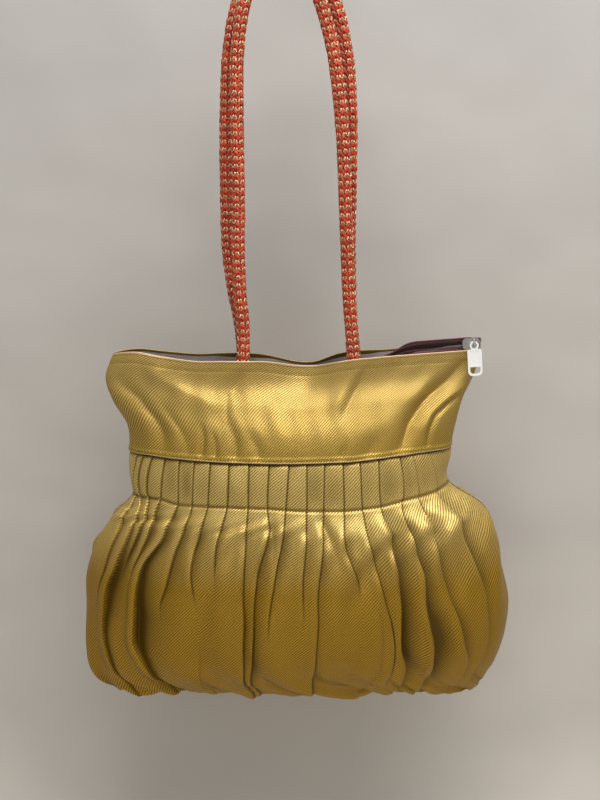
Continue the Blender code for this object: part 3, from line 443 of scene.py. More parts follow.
def waves(u, v, count, size, seed):
    """A soft random field of the given grain in metres, about 1 high."""
    source = np.random.default_rng(seed)
    total = np.zeros(np.broadcast(u, v).shape)
    for _ in range(count):
        turn = source.uniform(0, 2 * math.pi)
        scale = 2 * math.pi / (size * source.uniform(0.7, 1.6))
        total += np.sin((u * math.cos(turn) + v * math.sin(turn)) * scale + source.uniform(0, 2 * math.pi))
    return total / math.sqrt(count / 2)


def mesh_of(name, points, faces, finish, attributes=None, flip=False):
    """A smooth mesh object of one material from an array of points and an array of four-sided faces."""
    mesh = bpy.data.meshes.new(name)
    points = np.asarray(points, np.float32).reshape(-1, 3)
    faces = np.asarray(faces, np.int32)
    if flip:
        faces = faces[:, ::-1]
    mesh.vertices.add(len(points))
    mesh.vertices.foreach_set("co", points.ravel())
    mesh.loops.add(faces.size)
    mesh.loops.foreach_set("vertex_index", faces.ravel())
    mesh.polygons.add(len(faces))
    mesh.polygons.foreach_set("loop_start", np.arange(0, faces.size, faces.shape[1], dtype=np.int32))
    mesh.update(calc_edges=True)
    for label, values in (attributes or {}).items():
        values = np.asarray(values, np.float32)
        kind = "FLOAT" if values.ndim == 1 else "FLOAT_VECTOR"
        layer = mesh.attributes.new(label, kind, "POINT")
        layer.data.foreach_set("value" if kind == "FLOAT" else "vector", values.ravel())
    mesh.shade_smooth()
    mesh.validate()
    mesh.materials.append(finish)
    obj = bpy.data.objects.new(name, mesh)
    bpy.context.scene.collection.objects.link(obj)
    return obj


def grid_faces(rows, columns, wrap=False):
    r = np.arange(rows - 1)[:, None]
    c = np.arange(columns if wrap else columns - 1)[None, :]
    after = (c + 1) % columns
    return np.stack(
        [r * columns + c, (r + 1) * columns + c, (r + 1) * columns + after, r * columns + after], -1
    ).reshape(-1, 4)


def grid_object(name, grid, side, finish, attributes):
    """A grid of cloth whose faces turn outward."""
    rows, columns = grid.shape[:2]
    normal = sides_of(grid)[rows // 3, columns // 2]
    count = rows * columns
    flat = {label: values.reshape(count, *values.shape[2:]) for label, values in attributes.items()}
    # A face goes down first and then across, so it faces the opposite way from across x down.
    return mesh_of(name, grid, grid_faces(rows, columns), finish, flat, flip=normal[1] * side > 0)


def even_shares(count, half_width, half_depth):
    """Shares of the half width that are evenly spaced around half an ellipse."""
    turn = np.linspace(0, math.pi, 4001)
    step = np.hypot(np.diff(-np.cos(turn)) * half_width, np.diff(np.sin(turn)) * half_depth)
    along = np.concatenate([[0], np.cumsum(step)])
    return np.interp(np.linspace(0, along[-1], count), along, turn)


def shift_at(drop, share):
    """How much lower the cloth of this level lies than level, for the seam and the band's stitches."""
    seam = np.interp(share, *zip(*SEAM_SHIFT))
    band = np.interp(share, *zip(*BAND_SHIFT))
    above = ease(drop, 0.010, YOKE_HEIGHT)
    inside = ease(drop, YOKE_HEIGHT, BAND_END)
    below = 1.0 - ease(drop, BAND_END + 0.004, BAND_END + 0.065)
    return np.where(drop < YOKE_HEIGHT, seam * above, mix(seam, band, inside) * below)


def fold_depth(x, drop, folds):
    """How far soft folds go in at places given by x in metres and drop in metres."""
    total = np.zeros(np.broadcast(x, drop).shape)
    for line, half_width, depth in folds:
        points = [(share * MOUTH_HALF_WIDTH, level / 1000) for share, level in line]
        nearest = np.full(total.shape, 1e9)
        place = np.zeros(total.shape)
        lengths = [0.0]
        for a, b in zip(points, points[1:]):
            lengths.append(lengths[-1] + math.dist(a, b))
        for k, (a, b) in enumerate(zip(points, points[1:])):
            dx, dz = b[0] - a[0], b[1] - a[1]
            t = np.clip(((x - a[0]) * dx + (drop - a[1]) * dz) / (dx * dx + dz * dz), 0, 1)
            away = np.hypot(x - a[0] - t * dx, drop - a[1] - t * dz)
            closer = away < nearest
            nearest = np.where(closer, away, nearest)
            place = np.where(closer, (lengths[k] + t * (lengths[k + 1] - lengths[k])) / lengths[-1], place)
        away = nearest / (half_width / 1000)
        ends = 0.45 + 0.55 * np.sin(math.pi * np.clip(place, 0, 1)) ** 0.7
        total += depth / 1000 * np.exp(-(away**1.7)) * ends
    return total


class Shader:
    """Builds the nodes of one material."""

    def __init__(self, name):
        self.made = bpy.data.materials.new(name)
        self.made.use_nodes = True
        self.tree = self.made.node_tree
        self.surface = self.tree.nodes["Principled BSDF"]

    def node(self, kind, **settings):
        made = self.tree.nodes.new(kind)
        for key, value in settings.items():
            setattr(made, key, value)
        return made

    def link(self, value, socket):
        if isinstance(value, bpy.types.NodeSocket):
            self.tree.links.new(value, socket)
        elif isinstance(value, tuple) and len(value) == 3 and len(socket.default_value) == 4:
            socket.default_value = (*value, 1.0)
        else:
            socket.default_value = value

    def math(self, operation, a, b=None, c=None, clamp=False):
        made = self.node("ShaderNodeMath", operation=operation, use_clamp=clamp)
        for socket, value in zip(made.inputs, (a, b, c)):
            if value is not None:
                self.link(value, socket)
        return made.outputs[0]

    def mix(self, share, a, b):
        made = self.node("ShaderNodeMix", data_type="RGBA")
        self.link(share, made.inputs[0])
        self.link(a, made.inputs[6])
        self.link(b, made.inputs[7])
        return made.outputs[2]

    def attribute(self, name):
        return self.node("ShaderNodeAttribute", attribute_name=name)

    def parts(self, vector):
        made = self.node("ShaderNodeSeparateXYZ")
        self.link(vector, made.inputs[0])
        return made.outputs

    def wave(self, value, pitch):
        return self.math("SINE", self.math("MULTIPLY", value, 2 * math.pi / pitch))

    def position(self):
        return self.node("ShaderNodeTexCoord").outputs["Object"]

    def noise(self, vector, scale, detail=2.0, roughness=0.5):
        made = self.node("ShaderNodeTexNoise")
        self.link(vector, made.inputs["Vector"])
        made.inputs["Scale"].default_value = scale
        made.inputs["Detail"].default_value = detail
        made.inputs["Roughness"].default_value = roughness
        return made.outputs["Fac"]

    def scaled(self, vector, factors):
        made = self.node("ShaderNodeVectorMath", operation="MULTIPLY")
        self.link(vector, made.inputs[0])
        made.inputs[1].default_value = factors
        return made.outputs[0]

    def spread(self, value, low, high, out_low=0.0, out_high=1.0):
        made = self.node("ShaderNodeMapRange")
        for socket, number in zip(made.inputs, (value, low, high, out_low, out_high)):
            self.link(number, socket)
        return made.outputs[0]

    def bump(self, height, distance, strength=1.0, below=None):
        made = self.node("ShaderNodeBump")
        made.inputs["Strength"].default_value = strength
        made.inputs["Distance"].default_value = distance
        self.link(height, made.inputs["Height"])
        if below is not None:
            self.link(below, made.inputs["Normal"])
        return made.outputs[0]

    def set(self, **inputs):
        for name, value in inputs.items():
            self.link(value, self.surface.inputs[name.replace("_", " ").title().replace("Ior", "IOR")])
        return self.made


def twill(name, angle, upper, lower, fade):
    """Gold satin twill: shiny ribs that rise to the right over dark ground yarn; its colour is painted
    paler in its upper part and darker lower down, painted light from above.

    The two numbers of fade are the distances down the cloth where the painted shade starts and ends to turn
    it darker.
    """
    s = Shader(name)
    where = s.attribute("weave").outputs["Vector"]
    u, v, _ = s.parts(where)
    turn = math.radians(angle)
    across = s.math("ADD", s.math("MULTIPLY", u, math.sin(turn)), s.math("MULTIPLY", v, math.cos(turn)))
    along = s.math("SUBTRACT", s.math("MULTIPLY", u, math.cos(turn)), s.math("MULTIPLY", v, math.sin(turn)))
    drift = s.math("MULTIPLY", s.math("SUBTRACT", s.noise(where, 60.0, 3.0), 0.5), 3.4)
    phase = s.math("ADD", s.math("MULTIPLY", across, 2 * math.pi / TWILL_PITCH), drift)
    rib = s.math("ADD", s.math("MULTIPLY", s.math("SINE", phase), 0.5), 0.5)
    floats = s.math("MULTIPLY", along, 2 * math.pi / FLOAT_PITCH)
    dots = s.math("ADD", s.math("MULTIPLY", s.math("SINE", s.math("ADD", floats, phase)), 0.5), 0.5)
    speckle = s.noise(where, 1500.0, 2.0, 0.7)
    cloudy = s.noise(where, 26.0, 3.0)
    pale = s.math("MULTIPLY_ADD", dots, 0.16, s.math("MULTIPLY", s.math("POWER", rib, 0.9), 0.84))
    pale = s.math("ADD", pale, s.math("MULTIPLY", s.math("SUBTRACT", speckle, 0.5), 1.5), clamp=True)
    # Painted shade: ground and shine turn darker down the cloth between the two fade distances, standing in
    # for light from above.
    painted_shade_below = s.spread(v, *fade)
    ground = s.mix(painted_shade_below, (0.200, 0.112, 0.006), (0.120, 0.058, 0.001))
    ground = s.mix(s.math("MULTIPLY", cloudy, 0.5), ground, (0.180, 0.092, 0.003))
    shine = s.mix(painted_shade_below, upper, lower)
    shine = s.mix(s.math("MULTIPLY", cloudy, 0.4), shine, (0.600, 0.380, 0.060))
    colour = s.mix(pale, ground, shine)
    # Painted light from the edge attribute: above zero it paints a pale highlight along folded edges, below
    # zero dark painted shade in creases, pinches, under the seam and inside the back's mouth edge.
    painted_light_and_shade = s.attribute("edge").outputs["Fac"]
    colour = s.mix(s.math("MAXIMUM", painted_light_and_shade, 0.0), colour, (0.74, 0.54, 0.36))
    colour = s.mix(s.math("MULTIPLY", painted_light_and_shade, -1.0, clamp=True), colour, (0.075, 0.040, 0.001))
    height = s.math("ADD", s.math("MULTIPLY", rib, 1.0), s.math("MULTIPLY", dots, 0.25))
    height = s.math("ADD", height, s.math("MULTIPLY", speckle, 0.35))
    soft = s.bump(s.noise(where, 120.0, 3.0), 0.0006, 0.35)
    return s.set(
        base_color=colour,
        metallic=0.52,
        roughness=s.spread(pale, 0.0, 1.0, 0.52, 0.40),
        specular_ior_level=0.40,
        normal=s.bump(height, 0.00012, 0.9, soft),
    )


def lining_material():
    s = Shader("lining_satin")
    where = s.position()
    streaks = s.noise(s.scaled(where, (1.0, 1.0, 0.25)), 95.0, 3.0, 0.6)
    tint = s.noise(where, 38.0, 2.0)
    colour = s.mix(tint, (0.235, 0.190, 0.190), (0.330, 0.300, 0.290))
    fine = s.noise(s.scaled(where, (1.0, 1.0, 12.0)), 900.0, 1.0)
    return s.set(
        base_color=colour,
        metallic=0.35,
        roughness=0.33,
        normal=s.bump(s.math("ADD", s.math("MULTIPLY", fine, 0.15), streaks), 0.0012, 0.7),
    )


def tape_material():
    s = Shader("maroon_tape")
    where = s.attribute("weave").outputs["Vector"]
    u, v, _ = s.parts(where)
    height = s.math("MULTIPLY", s.math("ADD", s.wave(v, TAPE_WARP), s.wave(u, TAPE_WEFT)), 0.5)
    colour = s.mix(s.spread(height, -1.0, 1.0), (0.075, 0.002, 0.012), (0.190, 0.006, 0.030))
    # The outer part is covered by the lining's edge, which is sewn over it; that part is painted a darker
    # copy of the lining's colour, painted shade.
    faced = s.spread(v, *(share * TAPE_WIDTH for share in TAPE_FACING))
    colour = s.mix(faced, colour, (0.150, 0.115, 0.088))
    return s.set(base_color=colour, roughness=0.72, sheen_weight=0.25, normal=s.bump(height, 0.0002, 0.8))


def plain_material(name, colour, roughness, metallic=0.0, grain=0.0, scale=400.0, other=None):
    s = Shader(name)
    where = s.position()
    uneven = s.noise(where, scale, 2.0)
    tone = s.mix(uneven, colour, other or tuple(c * 0.72 for c in colour))
    values = {"base_color": tone, "roughness": roughness, "metallic": metallic}
    if grain:
        values["normal"] = s.bump(uneven, grain, 0.8)
    return s.set(**values)


def metal_material(name, bright, dull, metallic):
    s = Shader(name)
    where = s.position()
    worn = s.noise(where, 320.0, 4.0, 0.65)
    lines = s.noise(s.scaled(where, (1.0, 1.0, 0.05)), 2600.0, 2.0)
    colour = s.mix(worn, bright, dull)
    return s.set(
        base_color=colour,
        metallic=metallic,
        roughness=s.spread(worn, 0.3, 0.8, 0.20, 0.30),
        normal=s.bump(lines, 0.00002, 0.15),
    )


def yarn_material(name, light, dark, roughness, metallic, sheen):
    """Twisted yarn: every stitch has its own tone, and fine plies run round it."""
    s = Shader(name)
    tone = s.attribute("tone").outputs["Fac"]
    plies = s.wave(s.attribute("ply").outputs["Fac"], 1.0)
    fuzz = s.noise(s.position(), 2400.0, 2.0)
    share = s.math("ADD", s.math("MULTIPLY", tone, 0.62), s.math("MULTIPLY", fuzz, 0.38))
    height = s.math("ADD", s.math("MULTIPLY", plies, 0.6), fuzz)
    return s.set(
        base_color=s.mix(share, light, dark),
        roughness=roughness,
        metallic=metallic,
        sheen_weight=sheen,
        normal=s.bump(height, 0.00025, 0.8),
    )


def wall_material():
    s = Shader("wall")
    where = s.position()
    cloudy = s.noise(where, 3.4, 3.0, 0.55)
    grain = s.noise(where, 260.0, 3.0)
    # Painted light on the wall: its colour is painted paler towards the floor and darker higher up, and
    # darker in soft cloudy patches of painted shade.
    upward = s.spread(s.parts(where)[2], -0.60, 0.12)
    colour = s.mix(upward, (0.640, 0.600, 0.540), (0.415, 0.405, 0.397))
    colour = s.mix(s.spread(cloudy, 0.35, 0.70, 0.0, 0.35), colour, (0.37, 0.355, 0.340))
    dents = s.noise(where, 7.0, 2.0, 0.5)
    s.set(
        base_color=colour,
        roughness=0.60,
        normal=s.bump(s.math("ADD", s.math("MULTIPLY", grain, 0.01), dents), 0.020, 0.35),
    )
    # Seen from behind, the wall is clear, so that it doesn't hide the back of the bag.
    behind = s.node("ShaderNodeNewGeometry").outputs["Backfacing"]
    either = s.node("ShaderNodeMixShader")
    s.link(behind, either.inputs[0])
    s.link(s.surface.outputs[0], either.inputs[1])
    s.link(s.node("ShaderNodeBsdfTransparent").outputs[0], either.inputs[2])
    s.link(either.outputs[0], s.tree.nodes["Material Output"].inputs["Surface"])
    return s.made


def yoke(name, side, columns, levels, finish, folds):
    """The smooth upper panel: turned in at the mouth edge and at the seam below."""
    turn = even_shares(columns, MOUTH_HALF_WIDTH, 0.024)
    share = -np.cos(turn)
    edge = np.linspace(0.0010, 0.010, levels // 5)
    drops = np.concatenate([edge, np.linspace(0.0104, YOKE_HEIGHT - 0.0008, levels)])
    base = wall_point(turn[None, :], drops[:, None], side)
    base[..., 2] -= shift_at(drops[:, None], share[None, :])
    normal = outward(base, side)
    x = share[None, :] * MOUTH_HALF_WIDTH
    level = drops[:, None]
    mirrored = x if side < 0 else -x
    inward = fold_depth(mirrored, level, folds)
    inward *= 1.0 - ease(level, YOKE_HEIGHT - 0.0035, YOKE_HEIGHT - 0.0012)
    inward += 0.00022 * waves(x * 1.6, level * 0.7, 14, 0.026, 11 + side) * ease(level, 0.001, 0.012)
    inward += 0.00040 * np.exp(-(((level - TOPSTITCH_DROP) / 0.0007) ** 2))
    inward += 0.00022 * np.exp(-(((level - EDGE_STITCH_DROP) / 0.0005) ** 2))
    inward -= 0.00060 * ease(level, YOKE_HEIGHT - 0.0040, YOKE_HEIGHT - 0.0030)
    to_end = np.minimum(turn, math.pi - turn)[None, :]
    inward *= ease(to_end, 0.0, END_FADE)
    outer = base - normal * inward[..., None]
    outer[..., 1] = side * np.maximum(side * outer[..., 1], LEAST_DEPTH)

    # The cloth turns over the mouth edge and comes back down inside, and is turned under at the seam.
    radius = FOLD_RADIUS
    turned = [(0.0042, 2 * radius), (0.0026, 2 * radius), (0.0014, 2 * radius)]
    for a in np.linspace(0, math.pi, 7):
        turned.append((radius - radius * math.sin(a), radius + radius * math.cos(a)))
    top = []
    for level_here, inset in turned:
        row = wall_point(turn, np.full_like(turn, level_here), side)
        depth = side * row[:, 1] - inset * ease(to_end[0], 0.0, END_FADE)
        row[:, 1] = side * np.maximum(depth, LEAST_DEPTH)
        top.append(row)
    bottom = []
    for level_here, inset in ((-0.0003, -0.00035), (0.0002, -0.0001), (0.0, 0.0004)):
        row = outer[-1].copy()
        row[:, 2] -= 0.0006 + level_here
        bottom.append(row - normal[-1] * inset)
    grid = np.concatenate([np.array(top), outer, np.array(bottom)])
    down = distances(grid[:, columns // 2])
    along = distances(base[len(drops) // 2])
    along = (along - along[-1] / 2) * (1 if side < 0 else -1)
    weave = np.zeros((*grid.shape[:2], 3))
    weave[..., 0] = along[None, :]
    weave[..., 1] = down[:, None]
    # Painted light through the edge attribute: a pale painted highlight on the fold over the mouth edge and
    # on the turned seam below, and on the back the inside of the mouth edge is painted dark, painted shade.
    bright = np.zeros(grid.shape[:2])
    bright[3 : len(top), :] = 0.75
    if side > 0:
        bright[: len(top) - 5, :] = -0.9
        bright[len(top) - 5 : len(top), :] = 0.35
    bright[len(top), :] = 0.35
    bright[-3:-1, :] = 0.60
    panel = grid_object(name, grid, side, finish, {"weave": weave, "edge": bright})
    return panel, outer, normal, drops


def crease_tables(drops, table):
    """Share and depth of every crease at every drop."""
    shares, depths = [], []
    for rows in table:
        at = curve_through([(drop / 1000, share, depth / 1000) for drop, share, depth in rows], drops)
        shares.append(at[:, 0])
        depths.append(np.maximum(at[:, 1], 0.0))
    return np.array(shares), np.array(depths)


def along_panels(anchors, per_panel):
    """Places along each row, close together beside the creases and further apart between them."""
    t = np.arange(per_panel) / per_panel
    t = t - PANEL_CLOSENESS * np.sin(2 * math.pi * t)
    widths = np.diff(anchors, axis=1)
    inner = anchors[:, :-1, None] + widths[..., None] * t
    return np.concatenate([inner.reshape(len(anchors), -1), anchors[:, -1:]], axis=1)


def skirt(name, side, per_panel, steps, finish):
    """The pleated wall: knife pleats in the band, and creases and gathers in the balloon below."""
    turn = even_shares(1201, 0.120, 0.046)
    share = -np.cos(turn)
    seen = share if side < 0 else -share
    low = BAG_HEIGHT - 0.010
    drops = np.concatenate(
        [
            np.linspace(YOKE_HEIGHT - 0.0014, YOKE_HEIGHT + 0.0022, 5),
            np.linspace(YOKE_HEIGHT + 0.0036, BAND_END - 0.0030, steps // 6),
            np.linspace(BAND_END - 0.0022, BAND_END + 0.0040, 11),
            np.linspace(BAND_END + 0.0052, low, steps),
            np.linspace(low + 0.0012, BAG_HEIGHT, 9),
        ]
    )
    base = skirt_point(turn[None, :], drops[:, None], side)
    base[..., 2] -= shift_at(drops[:, None], share[None, :])
    level, depth, reach = LEFT_SHOULDER
    at_left = ease(-share, 0.35, 1.0)[None, :]
    base[..., 0] += depth * np.exp(-(((drops[:, None] - level) / reach) ** 2)) * at_left
    # Below the foot the cloth turns in to the base.
    foot = base[-1]
    inner = np.stack(
        [
            MIDDLE_X + share * BASE_HALF_WIDTH,
            side * (0.0004 + BASE_HALF_DEPTH * np.sin(turn)),
            np.full_like(share, MOUTH_Z - BAG_HEIGHT + BASE_LIFT + CLOTH - 2 * GAP),
        ],
        -1,
    )
    under = []
    under_shares = np.linspace(0, 1, UNDER_ROWS)[1:]
    for t in under_shares:
        row = mix(foot, inner, t)
        row[:, 2] -= 0.0026 * math.sin(math.pi * t) * (1 - 0.5 * t)
        under.append(row)
    full = np.concatenate([base, np.array(under)])
    levels = np.concatenate([drops, BAG_HEIGHT + under_shares * 0.012])
    if side > 0:
        full, seen, turn = full[:, ::-1], seen[::-1], turn[::-1]
    steps_across = np.linalg.norm(np.diff(full, axis=1), axis=2)
    arc = np.concatenate([np.zeros((len(full), 1)), np.cumsum(steps_across, axis=1)], axis=1)
    opened = ease(levels, BAND_END + 0.001, BAND_END + 0.018)
    rows = np.arange(len(levels))

    shares, depths = crease_tables(levels, CREASES)
    late_shares, late_depths = crease_tables(levels, (LATE_CREASE,))
    anchors = np.zeros((len(levels), len(CREASES) + 2))
    anchors[:, -1] = arc.max(axis=1)
    late = np.zeros(len(levels))
    hollows = np.zeros((len(HOLLOWS), len(levels)))
    for r in rows:
        anchors[r, 1:-1] = np.interp(shares[:, r], seen, arc[r])
        late[r] = np.interp(late_shares[0, r], seen, arc[r])
        hollows[:, r] = np.interp([row[1] for row in HOLLOWS], seen, arc[r])
    anchors = np.sort(anchors, axis=1)
    fine = along_panels(anchors, per_panel)
    placed = np.empty((*fine.shape, 3))
    turned = np.empty(fine.shape)
    for r in rows:
        turned[r] = np.interp(fine[r], arc[r], turn)
        for axis in range(3):
            placed[r, :, axis] = np.interp(fine[r], arc[r], full[r, :, axis])
    full, arc = placed, fine
    normal = outward(full, side)
    inward = np.zeros(full.shape[:2])
    dark = np.zeros(full.shape[:2])
    in_band = np.clip((levels[:, None] - YOKE_HEIGHT) / BAND_HEIGHT, 0.0, 1.0)
    uneven = np.random.default_rng(31 + side).uniform(-1.0, 1.0, len(CREASES) + 1)
    for k in range(len(CREASES)):
        at = anchors[:, k + 1][:, None]
        panel = (anchors[:, k + 2] - anchors[:, k + 1])[:, None]
        depth = depths[k][:, None]
        d = arc - at
        slope = np.clip(1.0 - d / (0.92 * panel + 1e-6), 0.0, 1.0)
        width = 0.0026 + 1.45 * depth
        curved = np.exp(-((np.abs(d) / width) ** 1.25))
        right = mix(slope, curved, opened[:, None])
        left = np.exp(-((d / CREASE_EDGE) ** 2))
        ridge = 0.42 * np.exp(-(((d + 0.0036) / 0.0034) ** 2)) * opened[:, None]
        inward += depth * (np.where(d >= 0, right, left) - ridge)
        # A thin dark line of painted shade along each crease.
        line = np.exp(-(((d - 0.0002) / CREASE_LINE) ** 2)) * np.clip(depth / 0.0012, 0.0, 1.0)
        dark = np.maximum(dark, line)
        within = np.clip(d / (panel + 1e-6), 0.0, 1.0)
        inward += uneven[k] * PLEAT_UNEVEN[0] * np.sin(math.pi * within) * np.sin(math.pi * in_band**1.5)
        inward += uneven[k + 1] * PLEAT_UNEVEN[1] * np.sin(math.pi * within) * np.sin(math.pi * in_band)
    # Painted shade in the creases: the deeper the cloth lies, the darker it is painted.
    crevice_painted_shade = np.maximum(np.clip((inward - 0.0007) / 0.0036, 0.0, 1.0), dark)
    d = arc - late[:, None]
    soft = np.where(d >= 0, np.exp(-((d / 0.0035) ** 2)), np.exp(-((d / CREASE_EDGE) ** 2)))
    inward += late_depths[0][:, None] * soft
    for (level, _, half_width, half_height, depth), near in zip(HOLLOWS, hollows):
        away = ((arc - near[:, None]) / (half_width / 1000)) ** 2
        away = away + ((levels[:, None] - level / 1000) / (half_height / 1000)) ** 2
        inward += depth / 1000 * np.exp(-away)

    down = distances(full[:, full.shape[1] // 2])
    v = np.broadcast_to(down[:, None], arc.shape)
    along_fold = arc - 0.35 * (arc - arc[:, -1:] / 2) * opened[:, None]
    inward += 0.0013 * waves(along_fold, v * 0.07, 14, 0.015, 5 + side) * opened[:, None]
    inward += 0.00012 * waves(arc, v * 0.5, 16, 0.016, 9 + side)
    foot_share = ease(levels, 0.216, 0.241)[:, None]
    gathers = np.sin(arc * 2 * math.pi / 0.0105 + 2.2 * waves(arc, v * 0.2, 8, 0.05, 17 + side))
    inward -= 0.00035 * gathers * foot_share
    puffs = np.abs(np.sin(arc * math.pi / 0.0290 + 1.3 * waves(arc, v * 0.1, 8, 0.09, 27 + side)))
    inward += 0.0036 * (1.0 - puffs) ** 2 * foot_share
    # Painted shade between the puffs at the foot.
    crevice_painted_shade = np.maximum(crevice_painted_shade, 0.9 * (1.0 - puffs) ** 3 * foot_share)
    inward -= 0.0017 * np.sin(math.pi * in_band) ** 1.2
    band_line = np.exp(-(((levels[:, None] - BAND_END) / 0.0011) ** 2))
    inward += 0.0011 * band_line
    seam_shadow = 1.0 - ease(levels[:, None], YOKE_HEIGHT + 0.0002, YOKE_HEIGHT + 0.0030)
    inward += 0.0012 * seam_shadow
    to_end = np.minimum(turned, math.pi - turned)
    inward = inward * ease(to_end, 0.0, 0.09 + 0.16 * foot_share)
    crevice_painted_shade = crevice_painted_shade * ease(to_end, 0.0, 0.09)
    fade_in = 1.0 - ease(levels, BAG_HEIGHT + 0.006, BAG_HEIGHT + 0.012)
    inward = inward * (0.25 + 0.75 * fade_in[:, None])
    grid = full - normal * inward[..., None]
    grid[..., 1] = side * np.maximum(side * grid[..., 1], LEAST_DEPTH)

    # Each panel of cloth between two creases keeps its own straight grain.
    reference = int(np.argmin(np.abs(levels - 0.160)))
    centres = (anchors[:, 1:] + anchors[:, :-1]) / 2
    weave = np.zeros((*grid.shape[:2], 3))
    for r in rows:
        panel = np.clip(np.searchsorted(anchors[r, 1:-1], arc[r], side="right"), 0, len(CREASES))
        weave[r, :, 0] = arc[r] - centres[r, panel] + centres[reference, panel]
    weave[..., 1] = v
    # Painted shade: creases, the pinch at the band's stitch line and the cloth under the seam are painted
    # darker through the edge attribute.
    shade = -np.maximum(np.maximum(0.85 * crevice_painted_shade, 0.55 * band_line), 0.9 * seam_shadow)
    wall = grid_object(name, grid, side, finish, {"weave": weave, "edge": shade})
    return wall, grid, normal, levels


def line_on(grid, normal, levels, level):
    """A line along a wall at one level, and the normals on it."""
    r = float(np.interp(level, levels, np.arange(len(levels))))
    low = min(int(r), len(levels) - 2)
    t = r - low
    return mix(grid[low], grid[low + 1], t), mix(normal[low], normal[low + 1], t)


def resampled(points, step):
    lengths = distances(points)
    return interpolated(np.arange(0.0, lengths[-1], step), lengths, points)


def capsules(name, starts, ends, radius, sides, finish, tones=None):
    """Short round-ended rods in one mesh, each with its own tone."""
    starts, ends = np.asarray(starts, float), np.asarray(ends, float)
    count = len(starts)
    axis = ends - starts
    length = np.linalg.norm(axis, axis=1, keepdims=True)
    axis = axis / np.maximum(length, 1e-9)
    aside = np.where(np.abs(axis[:, 2:3]) < 0.9, [[0.0, 0.0, 1.0]], [[1.0, 0.0, 0.0]])
    first = units(np.cross(axis, aside))
    second = np.cross(axis, first)
    rings = []
    for place, past, size in CAPSULE_RINGS:
        centre = starts + axis * (length * place + radius * past)
        for a in 2 * math.pi * np.arange(sides) / sides:
            rings.append(centre + (first * math.cos(a) + second * math.sin(a)) * radius * size)
    points = np.stack(rings, axis=1)
    per = points.shape[1]
    faces = grid_faces(len(CAPSULE_RINGS), sides, wrap=True)
    faces = (faces[None] + (np.arange(count) * per)[:, None, None]).reshape(-1, 4)
    tones = np.random.default_rng(3).random(count) if tones is None else tones
    ply = [place * 2.0 + s / sides for place, _, _ in CAPSULE_RINGS for s in range(sides)]
    return mesh_of(name, points, faces, finish, {"tone": np.repeat(tones, per), "ply": np.tile(ply, count)})


def stitches(name, lines, finish):
    """Rows of short stitches along lines on the cloth."""
    starts, ends = [], []
    for points, beside, trim in lines:
        keep = slice(trim, len(points) - trim)
        lifted = points[keep] + beside[keep] * STITCH_LIFT
        fine = resampled(lifted, STITCH_PITCH / STITCH_PARTS)
        last = len(fine) - 1 - (len(fine) - 1) % STITCH_PARTS
        starts.extend(fine[1:last:STITCH_PARTS])
        ends.extend(fine[STITCH_PARTS - 1 : last : STITCH_PARTS])
    return capsules(name, starts, ends, THREAD_RADIUS, 6, finish)


def cord_room(x, drop):
    spread = 0.0
    for cord_x in (FRONT_CORD[0][0], FRONT_CORD[-1][0]):
        spread = spread + np.exp(-(((x - cord_x) / CORD_POCKET_HALF_WIDTH) ** 4))
    depth = mix(0.74, 0.50, ease(drop, LINING_DROP, 0.0125)) * CORD_DIAMETER
    return spread * depth * (1.0 - ease(drop, 0.0135, 0.0240))


def lining(finish):
    """The satin pouch inside the bag, with soft upright folds."""
    drops = np.concatenate([np.linspace(0.0016, 0.024, 16), np.linspace(0.028, BAG_HEIGHT - 0.024, 42)])
    turn = np.linspace(LINING_END_SHARE, 1 - LINING_END_SHARE, 260) * math.pi
    upper = drops < YOKE_HEIGHT
    halves = []
    for side in (-1, 1):
        wall = wall_point(turn[None, :], np.minimum(drops, YOKE_HEIGHT - 0.001)[:, None], side)
        lower = skirt_point(turn[None, :], np.maximum(drops, YOKE_HEIGHT)[:, None], side)
        base = np.where(upper[:, None, None], wall, lower)
        inset = CLOTH + GAP + 0.0009 * ease(drops, 0.0, 0.010)
        inset = inset + 0.0037 * ease(drops, 0.6 * YOKE_HEIGHT, YOKE_HEIGHT - 0.006)
        inset = inset + 0.0042 * ease(drops, YOKE_HEIGHT + 0.01, BAND_END + 0.03)
        x = base[..., 0]
        level = np.broadcast_to(drops[:, None], x.shape)
        sway = 3.0 * waves(x, level * 0.3, 8, 0.04, 41 + side)
        ripple = 0.0005 * (1 + np.sin(x * 2 * math.pi / 0.0085 + sway)) * ease(level, 0.0030, 0.012)
        folds = YOKE_FOLDS if side < 0 else BACK_YOKE_FOLDS
        pressed = fold_depth((-np.cos(turn) * MOUTH_HALF_WIDTH * -side)[None, :], drops[:, None], folds)
        above = 1.0 - ease(level, YOKE_HEIGHT, YOKE_HEIGHT + 0.01)
        ripple = ripple + 1.15 * np.maximum(pressed, 0.0) * above
        moved = base - outward(base, side) * (inset[:, None] + ripple)[..., None]
        moved[..., 1] = side * np.maximum(side * moved[..., 1] - cord_room(moved[..., 0], level), 0.0007)
        halves.append(moved if side < 0 else moved[:, ::-1])
    grid = np.concatenate(halves, axis=1)
    middle = grid[-1] * np.array([1.0, 0.0, 1.0])
    floor = [mix(grid[-1], middle, t) for t in (0.35, 0.7, 1.0)]
    grid = np.concatenate([grid, np.array(floor)])
    return mesh_of("lining_pouch", grid, grid_faces(*grid.shape[:2], wrap=True), finish)


def share_at(x):
    return (np.asarray(x, float) - MIDDLE_X) / MOUTH_HALF_WIDTH


def slider_line(x):
    """Centre of the slider when it stands at x."""
    x = np.asarray(x, float)
    share = share_at(x)
    gap = STRAIGHT_GAP + (1.0 - share) * STRAIGHT_SPREAD
    edge_z = MOUTH_Z + STRAIGHT_RISE - (1.0 - share) * STRAIGHT_FALL
    wall = CLOTH + LINING_CLOTH + 2 * GAP + TAPE_CLOTH / 2
    return np.stack([x, wall - gap, edge_z + ZIP_LIFT], -1)


def unit(vector):
    return vector / np.linalg.norm(vector)


